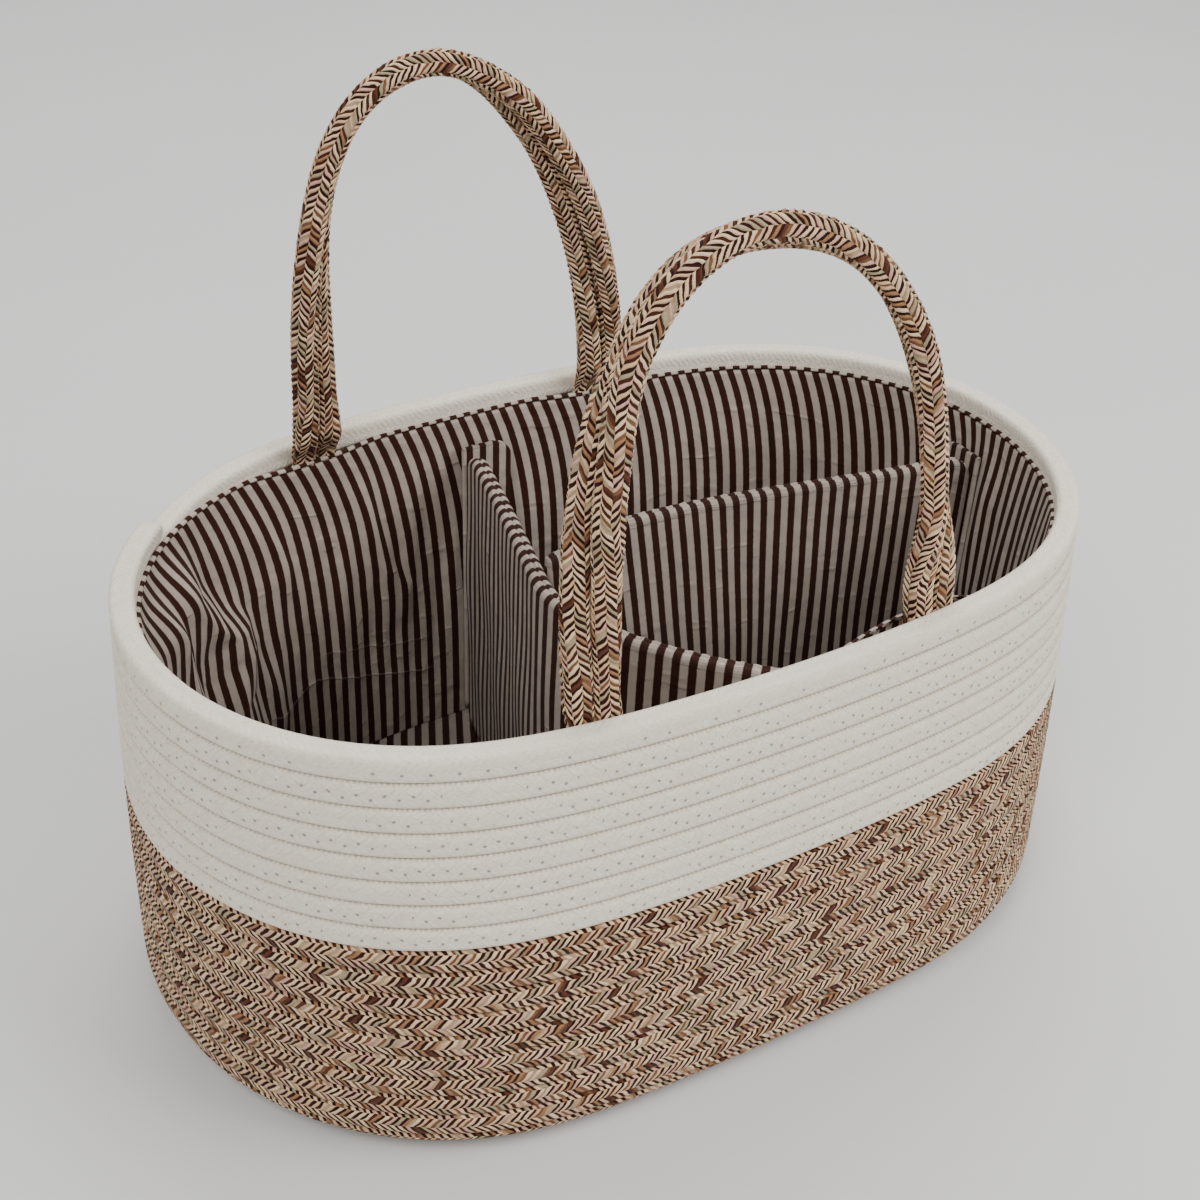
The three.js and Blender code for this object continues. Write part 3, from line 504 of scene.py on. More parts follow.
def speckled_rope(name, slope, bump):
    """Braid of many yarn colours, with painted shade where the yarns dip and painted highlights in lines
    along each yarn.
    """
    material, tree, shader, along, around = cotton_material(name, 0.92, 0.06)
    braid = use_group(tree, braid_group, Along=along, Around=around, Pitch=YARN_PITCH, Slope=slope)
    light = ramp(tree, braid["Light Pick"], LIGHT_YARNS, constant=True)
    dark = ramp(tree, braid["Dark Pick"], DARK_YARNS, constant=True)
    yarns = blend_colour(tree, braid["Dark"], light, dark)
    mottle_and_strand_highlights = total(tree, product(tree, braid["Fibre And Strand Highlights"], 1.1), 0.46)
    # Painted shade where the yarns dip
    dip_shade = fade(tree, braid["Height"], 0.0, 0.6, 0.50, 1.0)
    tree.links.new(shaded(tree, yarns, product(tree, mottle_and_strand_highlights, dip_shade)), shader.inputs["Base Color"])
    height = total(tree, braid["Height"], product(tree, braid["Fibre And Strand Highlights"], 0.25))
    relief(tree, shader, height, bump)
    return material


brown_coil.data.materials.append(speckled_rope("speckled_rope", COIL_SLOPE, YARN_RELIEF))
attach(brown_coil, "basket")
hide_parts("brown_rope")

# Cream rope of the upper wall and the rim
# The same braid in undyed cotton carries the coil on to the rim. A zigzag of thread
# sews each row to the next: it sinks in the groove and pricks the middle of the row.
CREAM_SQUARE = 5.6
CREAM_YARN_PITCH = 0.0026
ROPE_GIRTH = 0.034
CREAM_RELIEF = 0.0005
# The sewing: its pitch, the place of each groove, and the soft edges of thread, prick and the painted shade
# in the groove
STITCH_PITCH = 0.0042
GROOVE_PLACE = 0.40
THREAD_EDGE = (0.00020, 0.00045)
PRICK_EDGE = (0.0003, 0.00075)
GROOVE_EDGE = (0.085, 0.125)
CREAM_START = BROWN_TURNS * 360 + BUTT_ANGLE - BUTT_OVERLAP
CREAM_END = TURNS * 360 + RIM_END_ANGLE
RIM_END_SLOPE = 0.008
cream_coil = coil_rope("cream_coil", CREAM_START, CREAM_END, spacing=0.005, sides=28, square=CREAM_SQUARE,
                       reaches=(END_ROUND, RIM_END_SLOPE), settle=True)
rim_from = float(np.interp(CREAM_END - 360, *coil_lengths(CREAM_START, CREAM_END)))


def cream_rope_material():
    """Undyed braid and its sewing: a pulled groove on both sides darkened by painted shade, a zigzag thread
    and needle pricks. The yarns have painted shade where they dip and painted highlights in lines along
    each.
    """
    material, tree, shader, along, around = cotton_material("cream_rope", 0.95, 0.15)
    braid = use_group(tree, braid_group, Along=along, Around=around, Pitch=CREAM_YARN_PITCH,
                      Slope=COIL_SLOPE)
    where = position(tree, along, product(tree, around, ROPE_GIRTH))
    fuzz = minus(tree, noise(tree, where, 800.0, 4.0, 0.8), 0.5)
    base = ramp(tree, braid["Light Pick"], [(0.0, paint(252, 240, 219)), (1.0, paint(255, 246, 228))])
    # Painted shade where the yarns dip, lighter than on the speckled rope
    dip_shade = fade(tree, braid["Height"], 0.0, 0.6, 0.90, 1.0)
    mottle_and_strand_highlights = total(tree, product(tree, braid["Fibre And Strand Highlights"], 0.20), product(tree, fuzz, 0.70), 0.98)
    swing = calc(tree, "DIVIDE", along, STITCH_PITCH * 2)
    key = place(tree, "ShaderNodeTexWhiteNoise", {"noise_dimensions": "1D"}, W=calc(tree, "FLOOR", swing))
    stray = product(tree, minus(tree, key.outputs[0], 0.5), 0.02)
    threads, pricks, groove_shades = [], [], []
    for groove, middle, start in ((GROOVE_PLACE, 0.275, 0.0), (0.5 - GROOVE_PLACE, 0.225, 0.5)):
        wave = zigzag(tree, total(tree, swing, start))
        path = total(tree, product(tree, wave, groove - middle), middle)
        off_path = product(tree, away_from(tree, total(tree, around, stray), path), ROPE_GIRTH)
        threads.append(fade(tree, off_path, *THREAD_EDGE, 1.0, 0.0))
        beat = minus(tree, calc(tree, "FRACT", total(tree, swing, start)), 0.5)
        reach_x = product(tree, beat, STITCH_PITCH * 2)
        reach_y = product(tree, minus(tree, total(tree, around, stray), middle), ROPE_GIRTH)
        squares = [product(tree, reach, reach) for reach in (reach_x, reach_y)]
        reach = calc(tree, "SQRT", total(tree, *squares))
        chance = calc(tree, "GREATER_THAN", key.outputs[0], 0.3)
        pricks.append(product(tree, fade(tree, reach, *PRICK_EDGE, 1.0, 0.0), chance))
        # Painted shade in the groove between rows, broken into dashes
        near = away_from(tree, around, start)
        pull = calc(tree, "FRACT", product(tree, swing, 5.0))
        dash = fade(tree, total(tree, away_from(tree, pull, 0.5), fuzz), 0.12, 0.36, 1.0, 0.0)
        groove_shades.append(product(tree, fade(tree, near, *GROOVE_EDGE, 1.0, 0.0), dash, 0.24))
    thread, prick, groove = (calc(tree, "MAXIMUM", *pair) for pair in (threads, pricks, groove_shades))
    # The rim row is the rope's last length, and nothing is sewn on top of it
    on_rim = fade(tree, along, rim_from - 0.01, rim_from + 0.01, 0.0, 1.0)
    upper = calc(tree, "LESS_THAN", around, 0.25)
    sewn = minus(tree, 1.0, product(tree, on_rim, upper))
    # The marks darken the row: painted shade in each groove and the dark needle pricks
    marks = product(tree, sewn, calc(tree, "MAXIMUM", groove, product(tree, prick, 0.6)))
    pale = total(tree, product(tree, thread, sewn, 0.12), 1.0)
    shade = product(tree, mottle_and_strand_highlights, dip_shade, pale, minus(tree, 1.0, marks))
    tree.links.new(shaded(tree, base, shade), shader.inputs["Base Color"])
    height = total(tree, product(tree, braid["Height"], 0.5), product(tree, braid["Fibre And Strand Highlights"], 0.4),
                   product(tree, fuzz, 1.8), product(tree, thread, sewn, 0.6), product(tree, marks, -1.6))
    relief(tree, shader, height, CREAM_RELIEF)
    return material


cream_coil.data.materials.append(cream_rope_material())
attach(cream_coil, "basket")
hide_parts("cream_rope")

# Striped lining
# A loose sleeve of cotton ticking hangs from a folded edge that is stitched under the
# rim, over a floor panel. It stands in over the sewn-in handle ends and falls in folds.
STRIPE_PERIOD = 0.0064
WEAVE_PITCH = 0.0006
CLOTH_RELIEF = 0.0009
PALE_STRIPE = (paint(176, 162, 150), paint(198, 184, 172))
DARK_STRIPE = (paint(44, 22, 15), paint(66, 37, 26))
# Paler colour painted along each packing crease: a painted highlight on its ridge
CREASE_HIGHLIGHT = paint(180, 172, 168)
LINING_INSET = ROPE_RADIUS + 0.0011
HEM_TOP = RIM_HEIGHT - 0.0068
HEM_HIGH = 0.0022
SLEEVE_TOP = HEM_TOP - HEM_HIGH
SLEEVE_FOOT = 0.0106
TAIL_RADIUS = 0.0044
TAIL_FOOT = 0.1307
PAIR_HALF = 0.0048
HANDLE_RADIUS = 0.0047
PRESSED = 0.42


def turned(degrees):
    """A level direction, in degrees from the x axis."""
    return np.array([math.cos(math.radians(degrees)), math.sin(math.radians(degrees)), 0.0])


# The two handles: middle, direction and half length of the line through the roots, how the arch leans along
# it, its angle at rest and how far its legs bulge, then how the pair turns over itself, in degrees at
# shares of the way from left to right. The sewn-in ends, left and right, are pressed flat to a share of the
# rope, and the cloth stands off over a loose length on the left of each and a close one on its right
CLOSE = 0.026
HANDLES = [
    {"name": "front", "side": -1, "middle": np.array([-0.0025, -0.09796, 0.1796]), "along": turned(-0.192),
     "half": 0.0675, "lean": -0.010, "rest": 6.0, "bulges": (0.17, 0.36),
     "flat": (PRESSED, 0.9), "loose": (CLOSE, 0.062),
     "turns": [(0, 0), (0.08, -31), (0.16, -70), (0.29, -110), (0.5, -116), (0.72, -68), (0.92, -50),
               (1, 0)]},
    {"name": "back", "side": 1, "middle": np.array([-0.019, 0.09709, 0.1796]), "along": turned(2.42),
     "half": 0.06506, "lean": -0.012, "rest": 0.0, "bulges": (0.24, -0.04),
     "flat": (PRESSED, PRESSED), "loose": (CLOSE, CLOSE),
     "turns": [(0, 0), (0.04, 24), (0.24, 58), (0.42, 61), (0.58, 84), (0.72, 68), (0.86, 45), (1, 0)]}]


def build_ticking_group():
    """Stripes of the ticking, its weave, blotches and drawn threads, from places across and down."""
    t, inside, out = node_group(
        "ticking_weave", {"Across": 0.0, "Down": 0.0, "Period": STRIPE_PERIOD, "Dark Share": 0.5},
        ["Stripe", "Weave", "Blotch", "Thread"])
    across, down = inside.outputs["Across"], inside.outputs["Down"]
    where = position(t, across, down)
    edge = product(t, minus(t, noise(t, where, 420.0, 2.0), 0.5), 0.06)
    at = total(t, calc(t, "DIVIDE", across, inside.outputs["Period"]), edge)
    half = product(t, inside.outputs["Dark Share"], 0.5)
    from_middle = away_from(t, calc(t, "FRACT", at), 0.5)
    stripe = fade(t, from_middle, minus(t, half, 0.035), total(t, half, 0.035), 1.0, 0.0)
    warp, weft = (calc(t, "SINE", product(t, way, 2 * math.pi / WEAVE_PITCH)) for way in (across, down))
    weave = total(t, product(t, warp, weft, 0.5), 0.5)
    blotch = noise(t, where, 45.0, 4.0, 0.65)
    thread = noise(t, position(t, product(t, across, 30.0), down), 60.0, 3.0, 0.7)
    for label, socket in (("Stripe", stripe), ("Weave", weave), ("Blotch", blotch), ("Thread", thread)):
        t.links.new(socket, out.inputs[label])
    return t


ticking_group = build_ticking_group()


def ticking(name, period=STRIPE_PERIOD, marked=False, highlit_top=False, tone=(0.72, 1.0)):
    """Striped cotton with painted shade, darker towards its foot by the tone's two shares.

    A marked one has creases and a hem where its second UV map says, the creases paler by a painted
    highlight and the hem darker by painted shade. With the top option, the top edge gets a painted
    highlight and is paler than the faces."""
    material, tree, shader, across, down = cotton_material(name, 0.80, 0.03)
    cloth = use_group(tree, ticking_group, Across=across, Down=down, Period=period)
    pale, dark = (blend_colour(tree, cloth["Blotch"], *pair) for pair in (PALE_STRIPE, DARK_STRIPE))
    colour = blend_colour(tree, cloth["Stripe"], pale, dark)
    shade = total(tree, product(tree, cloth["Weave"], 0.10), product(tree, cloth["Thread"], 0.24), 0.83)
    # Painted shade: the cloth is darker towards its foot, by the tone's two shares
    shade = product(tree, shade, fade(tree, down, 0.02, 0.13, *tone))
    # Painted highlight: the top edge is paler than the faces
    if highlit_top:
        shade = product(tree, shade, fade(tree, down, 0.138, 0.160, 0.94, 1.22))
    ripple = noise(tree, position(tree, across, down), 80.0, 2.0)
    drawn = noise(tree, position(tree, product(tree, across, 0.3), down, 4.0), 70.0, 1.0)
    wrinkle = fade(tree, away_from(tree, drawn, 0.5), 0.0, 0.06, 1.0, 0.0)
    wrinkle = product(tree, wrinkle, fade(tree, ripple, 0.52, 0.62))
    height = total(tree, product(tree, cloth["Weave"], 0.12), product(tree, ripple, 1.5),
                   product(tree, wrinkle, 0.30))
    if marked:
        uv = place(tree, "ShaderNodeUVMap", {"uv_map": "marks"})
        parts = place(tree, "ShaderNodeSeparateXYZ", Vector=uv.outputs[0])
        # Painted highlight along each crease, as strong as the second UV map gives, over a small real bump
        shaken = total(tree, parts.outputs[0], product(tree, minus(tree, ripple, 0.5), 0.002))
        line = fade(tree, away_from(tree, shaken, 0.0), 0.0002, 0.0008, 1.0, 0.0)
        worn = product(tree, line, calc(tree, "MAXIMUM", parts.outputs[1], 0.0))
        colour = blend_colour(tree, product(tree, worn, 0.20), colour, CREASE_HIGHLIGHT)
        height = total(tree, height, product(tree, worn, 0.3))
        # Painted shade on the folded top edge, by the hem's share, and its dark stitches
        hem = calc(tree, "MAXIMUM", product(tree, parts.outputs[1], -1.0), 0.0)
        beat = away_from(tree, calc(tree, "FRACT", calc(tree, "DIVIDE", across, STITCH_PITCH)), 0.5)
        stitch = product(tree, fade(tree, beat, 0.20, 0.30, 1.0, 0.0), fade(tree, hem, 0.5, 0.9), 0.55)
        shade = product(tree, shade, minus(tree, 1.0, product(tree, hem, 0.22)), minus(tree, 1.0, stitch))
    tree.links.new(shaded(tree, colour, shade), shader.inputs["Base Color"])
    relief(tree, shader, height, CLOTH_RELIEF)
    return material


def wall_inside(x):
    """How far the wall's inner face is from the middle plane just under the rim, at places along it."""
    off, core, bow = wall_plan(HEM_TOP)
    line = plan_point(off - ROPE_RADIUS, core, bow, np.linspace(np.pi, 0, 2001))
    return np.interp(x, *line)


def hanging_line(count):
    """Plan of the sleeve under the rim at even lengths from the front middle, and which way is out."""
    off, core, bow = wall_plan(HEM_TOP)
    angle = plan_angles(6000, bow)
    x, y = plan_point(off - LINING_INSET, core, bow, angle)
    length = run_length(x, y)
    along = np.linspace(0, length[-1], count + 1)
    angle = np.interp(along, length, angle)
    x, y = np.interp(along, length, x), np.interp(along, length, y)
    return along, x, y, np.stack([np.cos(angle), np.sin(angle)])


# Folds of the loose sleeve: where each one runs, as lengths round the rim and heights, how far it steps in
# towards the middle of the caddy, over what length it comes in, and over what length it falls back
FOLDS = [
    ([(0.637, 0.167), (0.629, 0.138), (0.617, 0.122), (0.604, 0.110), (0.600, 0.097), (0.607, 0.076),
      (0.601, 0.059)], 0.0100, 0.022, 0.026),
    ([(0.540, 0.166), (0.536, 0.142), (0.526, 0.106), (0.518, 0.093)], 0.0035, 0.009, 0.020),
    ([(0.589, 0.161), (0.581, 0.142), (0.575, 0.124)], 0.0030, 0.008, 0.016),
    ([(0.664, 0.160), (0.651, 0.134), (0.641, 0.097)], 0.0060, 0.012, 0.020),
    ([(0.594, 0.100), (0.590, 0.083), (0.586, 0.067), (0.584, 0.052)], 0.0050, 0.012, 0.014),
    ([(0.690, 0.160), (0.700, 0.130), (0.694, 0.090)], 0.0030, 0.012, 0.020),
    ([(0.760, 0.160), (0.768, 0.120), (0.762, 0.070)], 0.0034, 0.014, 0.022),
    ([(0.862, 0.160), (0.870, 0.130), (0.864, 0.080)], 0.0030, 0.012, 0.020),
    ([(0.084, 0.160), (0.092, 0.110), (0.088, 0.060)], 0.0030, 0.014, 0.022),
    ([(0.226, 0.160), (0.222, 0.134), (0.228, 0.096)], 0.0024, 0.012, 0.020),
    ([(0.330, 0.150), (0.324, 0.110), (0.328, 0.070)], 0.0016, 0.010, 0.024)]

# Creases left in the sleeve by its packing: lengths round the rim, heights, and how strong each is
CREASES = [([0.511, 0.543, 0.566, 0.581, 0.610], [0.042, 0.051, 0.060, 0.052, 0.060], 1.0),
           ([0.513, 0.529, 0.558], [0.060, 0.063, 0.071], 0.5)]

# How far the stripes have wandered at the foot of the sleeve, by length round the rim
DRIFT_AT = [0, 0.19, 0.225, 0.25, 0.30, 0.50, 0.56, 0.70, 0.80, 0.949]
DRIFT = [0, -0.004, 0.001, 0.013, 0.012, 0.012, 0.013, 0.011, 0.004, 0]
DRIFT_DEPTH = 0.035

# The folded top edge: how far each step of it rises, stands out towards the rope and lies in shade
HEM_STEPS = [(0.0003, 0.0005, 0.6), (0.0007, 0.0006, 1.0), (0.0010, -0.0001, 0.5), (0.0014, -0.0004, 0.35),
             (0.0019, -0.0002, 0.35), (0.0022, 0.0004, 0.35), (0.0023, 0.0013, 0.35)]
STITCHED_BELOW = 0.0008
HEM_OUT_OF_STEP = 0.42


def smooth_round(values, step, width):
    """Rows of values round a closed loop, with everything narrower than a width smoothed away."""
    count = values.shape[1]
    kept = np.exp(-2 * (np.pi * np.fft.rfftfreq(count, step) * width) ** 2)
    return np.fft.irfft(np.fft.rfft(values, axis=1) * kept, count, axis=1)


def build_sleeve():
    """The sleeve from its foot to its folded edge, and the length of its loop."""
    columns, rows = 800, 90
    along, x, y, out = hanging_line(columns)
    loop = along[-1]
    z = np.linspace(SLEEVE_FOOT, SLEEVE_TOP, rows)
    step_in = np.zeros((rows, columns + 1))
    for path, deep, width, reach in FOLDS:
        lengths, heights = np.array(path)[::-1].T
        where = np.interp(z, heights, lengths)[:, None]
        beyond = (along[None, :] - where + loop / 2) % loop - loop / 2
        fullness = ease(0.0, 0.028, heights[-1] - z) * (1 - ease(0.0, 0.030, heights[0] - z))
        profile = ease(-width / 2, width / 2, beyond) * np.exp(-np.maximum(beyond - width / 2, 0) / reach)
        step_in += deep * fullness[:, None] * profile
    turn = 2 * np.pi * along[None, :] / loop
    level = (z - SLEEVE_FOOT)[:, None] / (SLEEVE_TOP - SLEEVE_FOOT)
    slack = np.sin(np.pi * level) ** 0.8
    waves = sum(high * np.sin(turn * count + lean * level)
                for high, count, lean in ((1.0, 31, 3.1), (0.7, 53, -5.3), (0.5, 87, 9.0)))
    step_in += 0.00055 * slack * (1.4 + waves)
    step_in += 0.0022 * slack * (0.5 + 0.5 * np.sin(turn * 5 + 1.0))
    # Each crease's strength also sets the painted highlight along it
    crease, crease_highlight_and_hem_shade = np.full_like(step_in, 1.0), np.zeros_like(step_in)
    for lengths, heights, strength in CREASES:
        off = z[:, None] - np.interp(along, lengths, heights)[None, :]
        first, last = lengths[0], lengths[-1]
        on = ease(first - 0.008, first, along) * (1 - ease(last, last + 0.008, along))
        nearer = (np.abs(off) < np.abs(crease)) & (on > 0)[None, :]
        crease = np.where(nearer, off, crease)
        crease_highlight_and_hem_shade = np.where(nearer, on[None, :] * strength, crease_highlight_and_hem_shade)
        step_in += 0.0004 * strength * on[None, :] * np.exp(-(off / 0.0024) ** 2)
    grid_x = x[None, :] - out[0][None, :] * step_in
    grid_y = y[None, :] - out[1][None, :] * step_in
    # The sleeve stands in over the sewn-in handle ends
    need = np.zeros_like(grid_x)
    lift = np.zeros_like(grid_x)
    for handle in HANDLES:
        for leg, flat, loose in zip((-1, 1), handle["flat"], handle["loose"]):
            foot = handle["middle"] + handle["along"] * leg * handle["half"]
            beside = np.abs(grid_x - foot[0]) - PAIR_HALF - TAIL_RADIUS + 0.001
            near = 1 - ease(0.0, 1.0, beside / np.where(grid_x < foot[0], loose, CLOSE))
            near = near * ease(TAIL_FOOT - 0.048, TAIL_FOOT, z)[:, None] * (grid_y * handle["side"] > 0)
            clear = np.abs(grid_y) - wall_inside(grid_x) + 2 * HANDLE_RADIUS * flat + 0.0010
            need = np.maximum(need, np.maximum(0, clear) * near)
            lift = np.maximum(lift, 0.0045 * (flat - PRESSED) * near * ease(0.13, SLEEVE_TOP, z)[:, None])
    grid_y = grid_y - np.sign(grid_y) * need
    # Cloth keeps its width: a fold takes stripes in from both sides
    steps = [np.diff(grid, prepend=grid[:, :1]) for grid in (grid_x, grid_y)]
    taken = np.cumsum(np.hypot(*steps), axis=1) - along[None, :]
    taken -= taken[:, -1:] * (along / loop)[None, :]
    inner = taken[:, :-1] - smooth_round(taken[:, :-1], loop / columns, 0.022)
    taken = np.concatenate([inner, inner[:, :1]], 1)
    loosened = 1 - np.exp(-(SLEEVE_TOP - z) / DRIFT_DEPTH)
    drift = np.interp(along, DRIFT_AT, DRIFT)[None, :] * loosened[:, None]
    cloth = along[None, :] + taken + drift * 1.25
    grid_z = np.repeat(z[:, None], columns + 1, 1) + lift
    points = np.stack([grid_x, grid_y, grid_z], 2)
    # Folded top edge: a stitched groove, then a narrow roll back against the rope, its stripes out of step
    pull = 0.5 + 0.5 * np.cos(along * 2 * np.pi / STITCH_PITCH)
    outward = np.stack([out[0], out[1], 0 * along], 1)
    hems = []
    for rise, outer, _ in HEM_STEPS:
        tuck = 0.0005 * pull * (rise < STITCHED_BELOW)
        hems.append(points[-1] + outward * (outer + tuck)[:, None] + np.array([0, 0, rise]))
    hem_cloth = np.repeat((along + STRIPE_PERIOD * HEM_OUT_OF_STEP)[None, :], len(HEM_STEPS), 0)
    hem_cloth[0] = cloth[-1]
    bare = np.zeros_like(hem_cloth)
    hem_shade = bare - np.array(HEM_STEPS)[:, 2:]
    whole = np.concatenate([points, np.stack(hems)])
    marks = (np.concatenate([crease, bare + 1]), np.concatenate([crease_highlight_and_hem_shade, hem_shade]))
    return surface("lining_sleeve", whole, np.concatenate([cloth, hem_cloth]), whole[:, :, 2],
                   facing=(0, 0, 0.1), marks=marks), loop


sleeve, rim_loop = build_sleeve()
whole_stripes = rim_loop / round(rim_loop / STRIPE_PERIOD)
# Painted shade darkens the sleeve towards its foot
sleeve.data.materials.append(ticking("lining_ticking", period=whole_stripes, marked=True))
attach(sleeve, "basket")
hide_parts("lining_wall")

# Stripes of the floor panel lie askew, as it was dropped in
FLOOR_ASKEW = math.radians(24)
PANEL_HEIGHT = 0.0100
PANEL_CLEAR = 0.0008


def build_floor_panel():
    """Rings from the middle of the floor out, the last ones turned up over the bend of the rope."""
    angle = plan_angles(400, FOOT_SIZE[2])
    inner_x, inner_y = plan_point(BASE_OFF - BEND_RADIUS, BASE_CORE, FOOT_SIZE[2], angle)
    rings = []
    for share in np.linspace(0, 1, 44):
        x, y = inner_x * share, inner_y * share
        puff = 0.0006 * np.sin(x * 90 + 1.3) * np.sin(y * 110) + 0.0003 * np.sin(x * 260 + y * 190)
        rings.append(np.stack([x, y, PANEL_HEIGHT + puff * (1 - share ** 6)], 1))
    clear = BEND_RADIUS - ROPE_RADIUS - PANEL_CLEAR
    for tilt in np.radians([12, 26, 40, 54, 64]):
        inset = BEND_RADIUS - clear * np.sin(tilt)
        x, y = plan_point(BASE_OFF - inset, BASE_CORE, FOOT_SIZE[2], angle)
        rings.append(np.stack([x, y, 0 * x + WALL_FOOT - clear * np.cos(tilt) + 0.0003], 1))
    rows = np.stack(rings)
    c, s = math.cos(FLOOR_ASKEW), math.sin(FLOOR_ASKEW)
    across = rows[:, :, 0] * c - rows[:, :, 1] * s
    down = rows[:, :, 0] * s + rows[:, :, 1] * c
    return surface("lining_floor_panel", rows, across, down, facing=(0, 0, 1))


floor_panel = build_floor_panel()
# Painted shade: the whole floor panel is darker, as it lies in the shade of the walls
floor_panel.data.materials.append(ticking("floor_ticking", tone=(0.48, 0.48)))
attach(floor_panel, "basket")
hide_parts("lining_floor")

# Carry handles
# Each handle is a pair of speckled braided ropes, side by side at the roots and
# turned over each other at the top. The ends run down between wall and lining.
HANDLE_RISE = 0.138
HANDLE_SLOPE = 1.3
HANDLE_SQUARE = 3.2
HANDLE_RELIEF = 0.0006
BRAID_DEPTH = 0.0008
HANDLE_END_ROUND = 0.003
# The ends are pressed flat below the first height, and let go above the second
SEWN_HEIGHTS = (0.1675, 0.181)


def handle_line(handle, which):
    """Middle line of one rope of a pair, from the foot of its left end over the top to its right end."""
    across = np.array([-handle["along"][1], handle["along"][0], 0])
    lean = -handle["side"] * math.radians(handle["rest"])
    share = np.linspace(0, 1, 400)
    a = np.pi * share
    swell = np.sin(a) ** 2
    bulge = np.where(share < 0.5, *handle["bulges"])
    arch = np.stack([handle["lean"] * swell - handle["half"] * np.cos(a) * (1 + bulge * swell), 0 * a,
                     HANDLE_RISE * np.sin(a)], 1)
    ahead = np.gradient(arch, axis=0)
    ahead /= np.linalg.norm(ahead, axis=1)[:, None]
    outward = np.stack([-ahead[:, 2], 0 * a, ahead[:, 0]], 1)
    turn = np.zeros_like(share)
    for (begin, first), (end, last) in zip(handle["turns"], handle["turns"][1:]):
        turn += (last - first) * ease(begin, end, share)
    turn = np.radians(turn)[:, None]
    local = arch + which * PAIR_HALF * (outward * np.cos(turn) + np.array([[0, -1, 0]]) * np.sin(turn))
    points = handle["middle"] + handle["along"] * local[:, :1]
    points += across * (local[:, 1:2] * math.cos(lean) + local[:, 2:] * math.sin(lean))
    points[:, 2] += local[:, 2] * math.cos(lean) - local[:, 1] * math.sin(lean)
    drop = np.linspace(handle["middle"][2] - TAIL_FOOT, 0.004, 24)[:, None] * np.array([[0, 0, 1.0]])
    line = np.concatenate([points[0] - drop, points, points[-1] - drop[::-1]])
    length = run_length(*line.T)
    return softened(spaced(line, length, np.linspace(0, length[-1], int(length[-1] / 0.002))), 6)


def braid_height(along, around):
    """The relief of the braid's shader, for the handles' own shape."""
    point = np.abs((around * ARMS / 2) % 1 - 0.5) * 2
    arm = np.floor(around * ARMS)
    within = (along / YARN_PITCH + point * HANDLE_SLOPE + (arm % 2) * 0.5) % 1
    full = 1 - np.abs(2 * point - 1) ** 3
    across = np.abs(within - YARN_SHARE / 2) / (YARN_SHARE / 2 + YARN_EDGE)
    lump = np.sqrt(np.clip(1 - across ** 2, 0, 1))
    return np.maximum(lump, 0.3) * (0.35 + 0.65 * full)


def handle_rope(name, line, partner, handle, spacing, sides):
    """One rope of a pair, squared towards its partner, and pressed flat where it is sewn in."""
    length = run_length(*line.T)
    even = np.linspace(0, length[-1], int(length[-1] / spacing))
    even = np.concatenate([[0, 0.0002], even[1:-1], [length[-1] - 0.0002, length[-1]]])
    centre = spaced(line, length, even)
    ahead = np.gradient(centre, axis=0) / np.gradient(even)[:, None]
    padded = np.pad(ahead, ((4, 4), (0, 0)), mode="edge")
    ahead = np.stack([np.convolve(column, np.ones(9) / 9, "valid") for column in padded.T], 1)
    ahead /= np.linalg.norm(ahead, axis=1)[:, None]
    partner_length = run_length(*partner.T)
    beside = spaced(partner, partner_length, even / length[-1] * partner_length[-1]) - centre
    beside -= ahead * (beside * ahead).sum(1)[:, None]
    beside /= np.linalg.norm(beside, axis=1)[:, None]
    facing = np.cross(ahead, beside)
    around = np.linspace(0, 1, sides + 1)
    arms = around + 1 / ARMS
    bumps = braid_height(even[:, None], arms[None, :] % 1) - 0.75
    bumps[:, -1] = bumps[:, 0]
    size = rounded(even / HANDLE_END_ROUND) * rounded((length[-1] - even) / HANDLE_END_ROUND)
    c, s = np.cos(2 * np.pi * around), np.sin(2 * np.pi * around)
    square = (np.abs(c) ** HANDLE_SQUARE + np.abs(s) ** HANDLE_SQUARE) ** (-1 / HANDLE_SQUARE)
    radius = (HANDLE_RADIUS * square[None, :] + BRAID_DEPTH * bumps) * size[:, None]
    ways = beside[:, None, :] * c[None, :, None] + facing[:, None, :] * s[None, :, None]
    offset = radius[:, :, None] * ways
    sewn = 1 - ease(*SEWN_HEIGHTS, centre[:, 2])
    flat = np.where(centre[:, 0] < handle["middle"][0], *handle["flat"])
    offset[:, :, 1] *= 1 - (1 - flat[:, None]) * sewn[:, None]
    pressed = handle["side"] * (wall_inside(centre[:, 0]) - HANDLE_RADIUS * flat - 0.0005)
    centre[:, 1] = mix(centre[:, 1], pressed, sewn)
    return surface(name, centre[:, None, :] + offset, even, arms, closed=True)


handle_finish = speckled_rope("handle_rope", HANDLE_SLOPE, HANDLE_RELIEF)
for handle in HANDLES:
    side = handle["name"]
    for which, label in ((1, "outer"), (-1, "inner")):
        rope = handle_rope(f"{side}_rope_{label}", handle_line(handle, which), handle_line(handle, -which),
                           handle, spacing=0.0005, sides=48)
        rope.data.materials.append(handle_finish)
        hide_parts(f"{side}_handle_{label}", f"{side}_tail_left_{label}",
                    f"{side}_tail_right_{label}")
        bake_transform(rope)

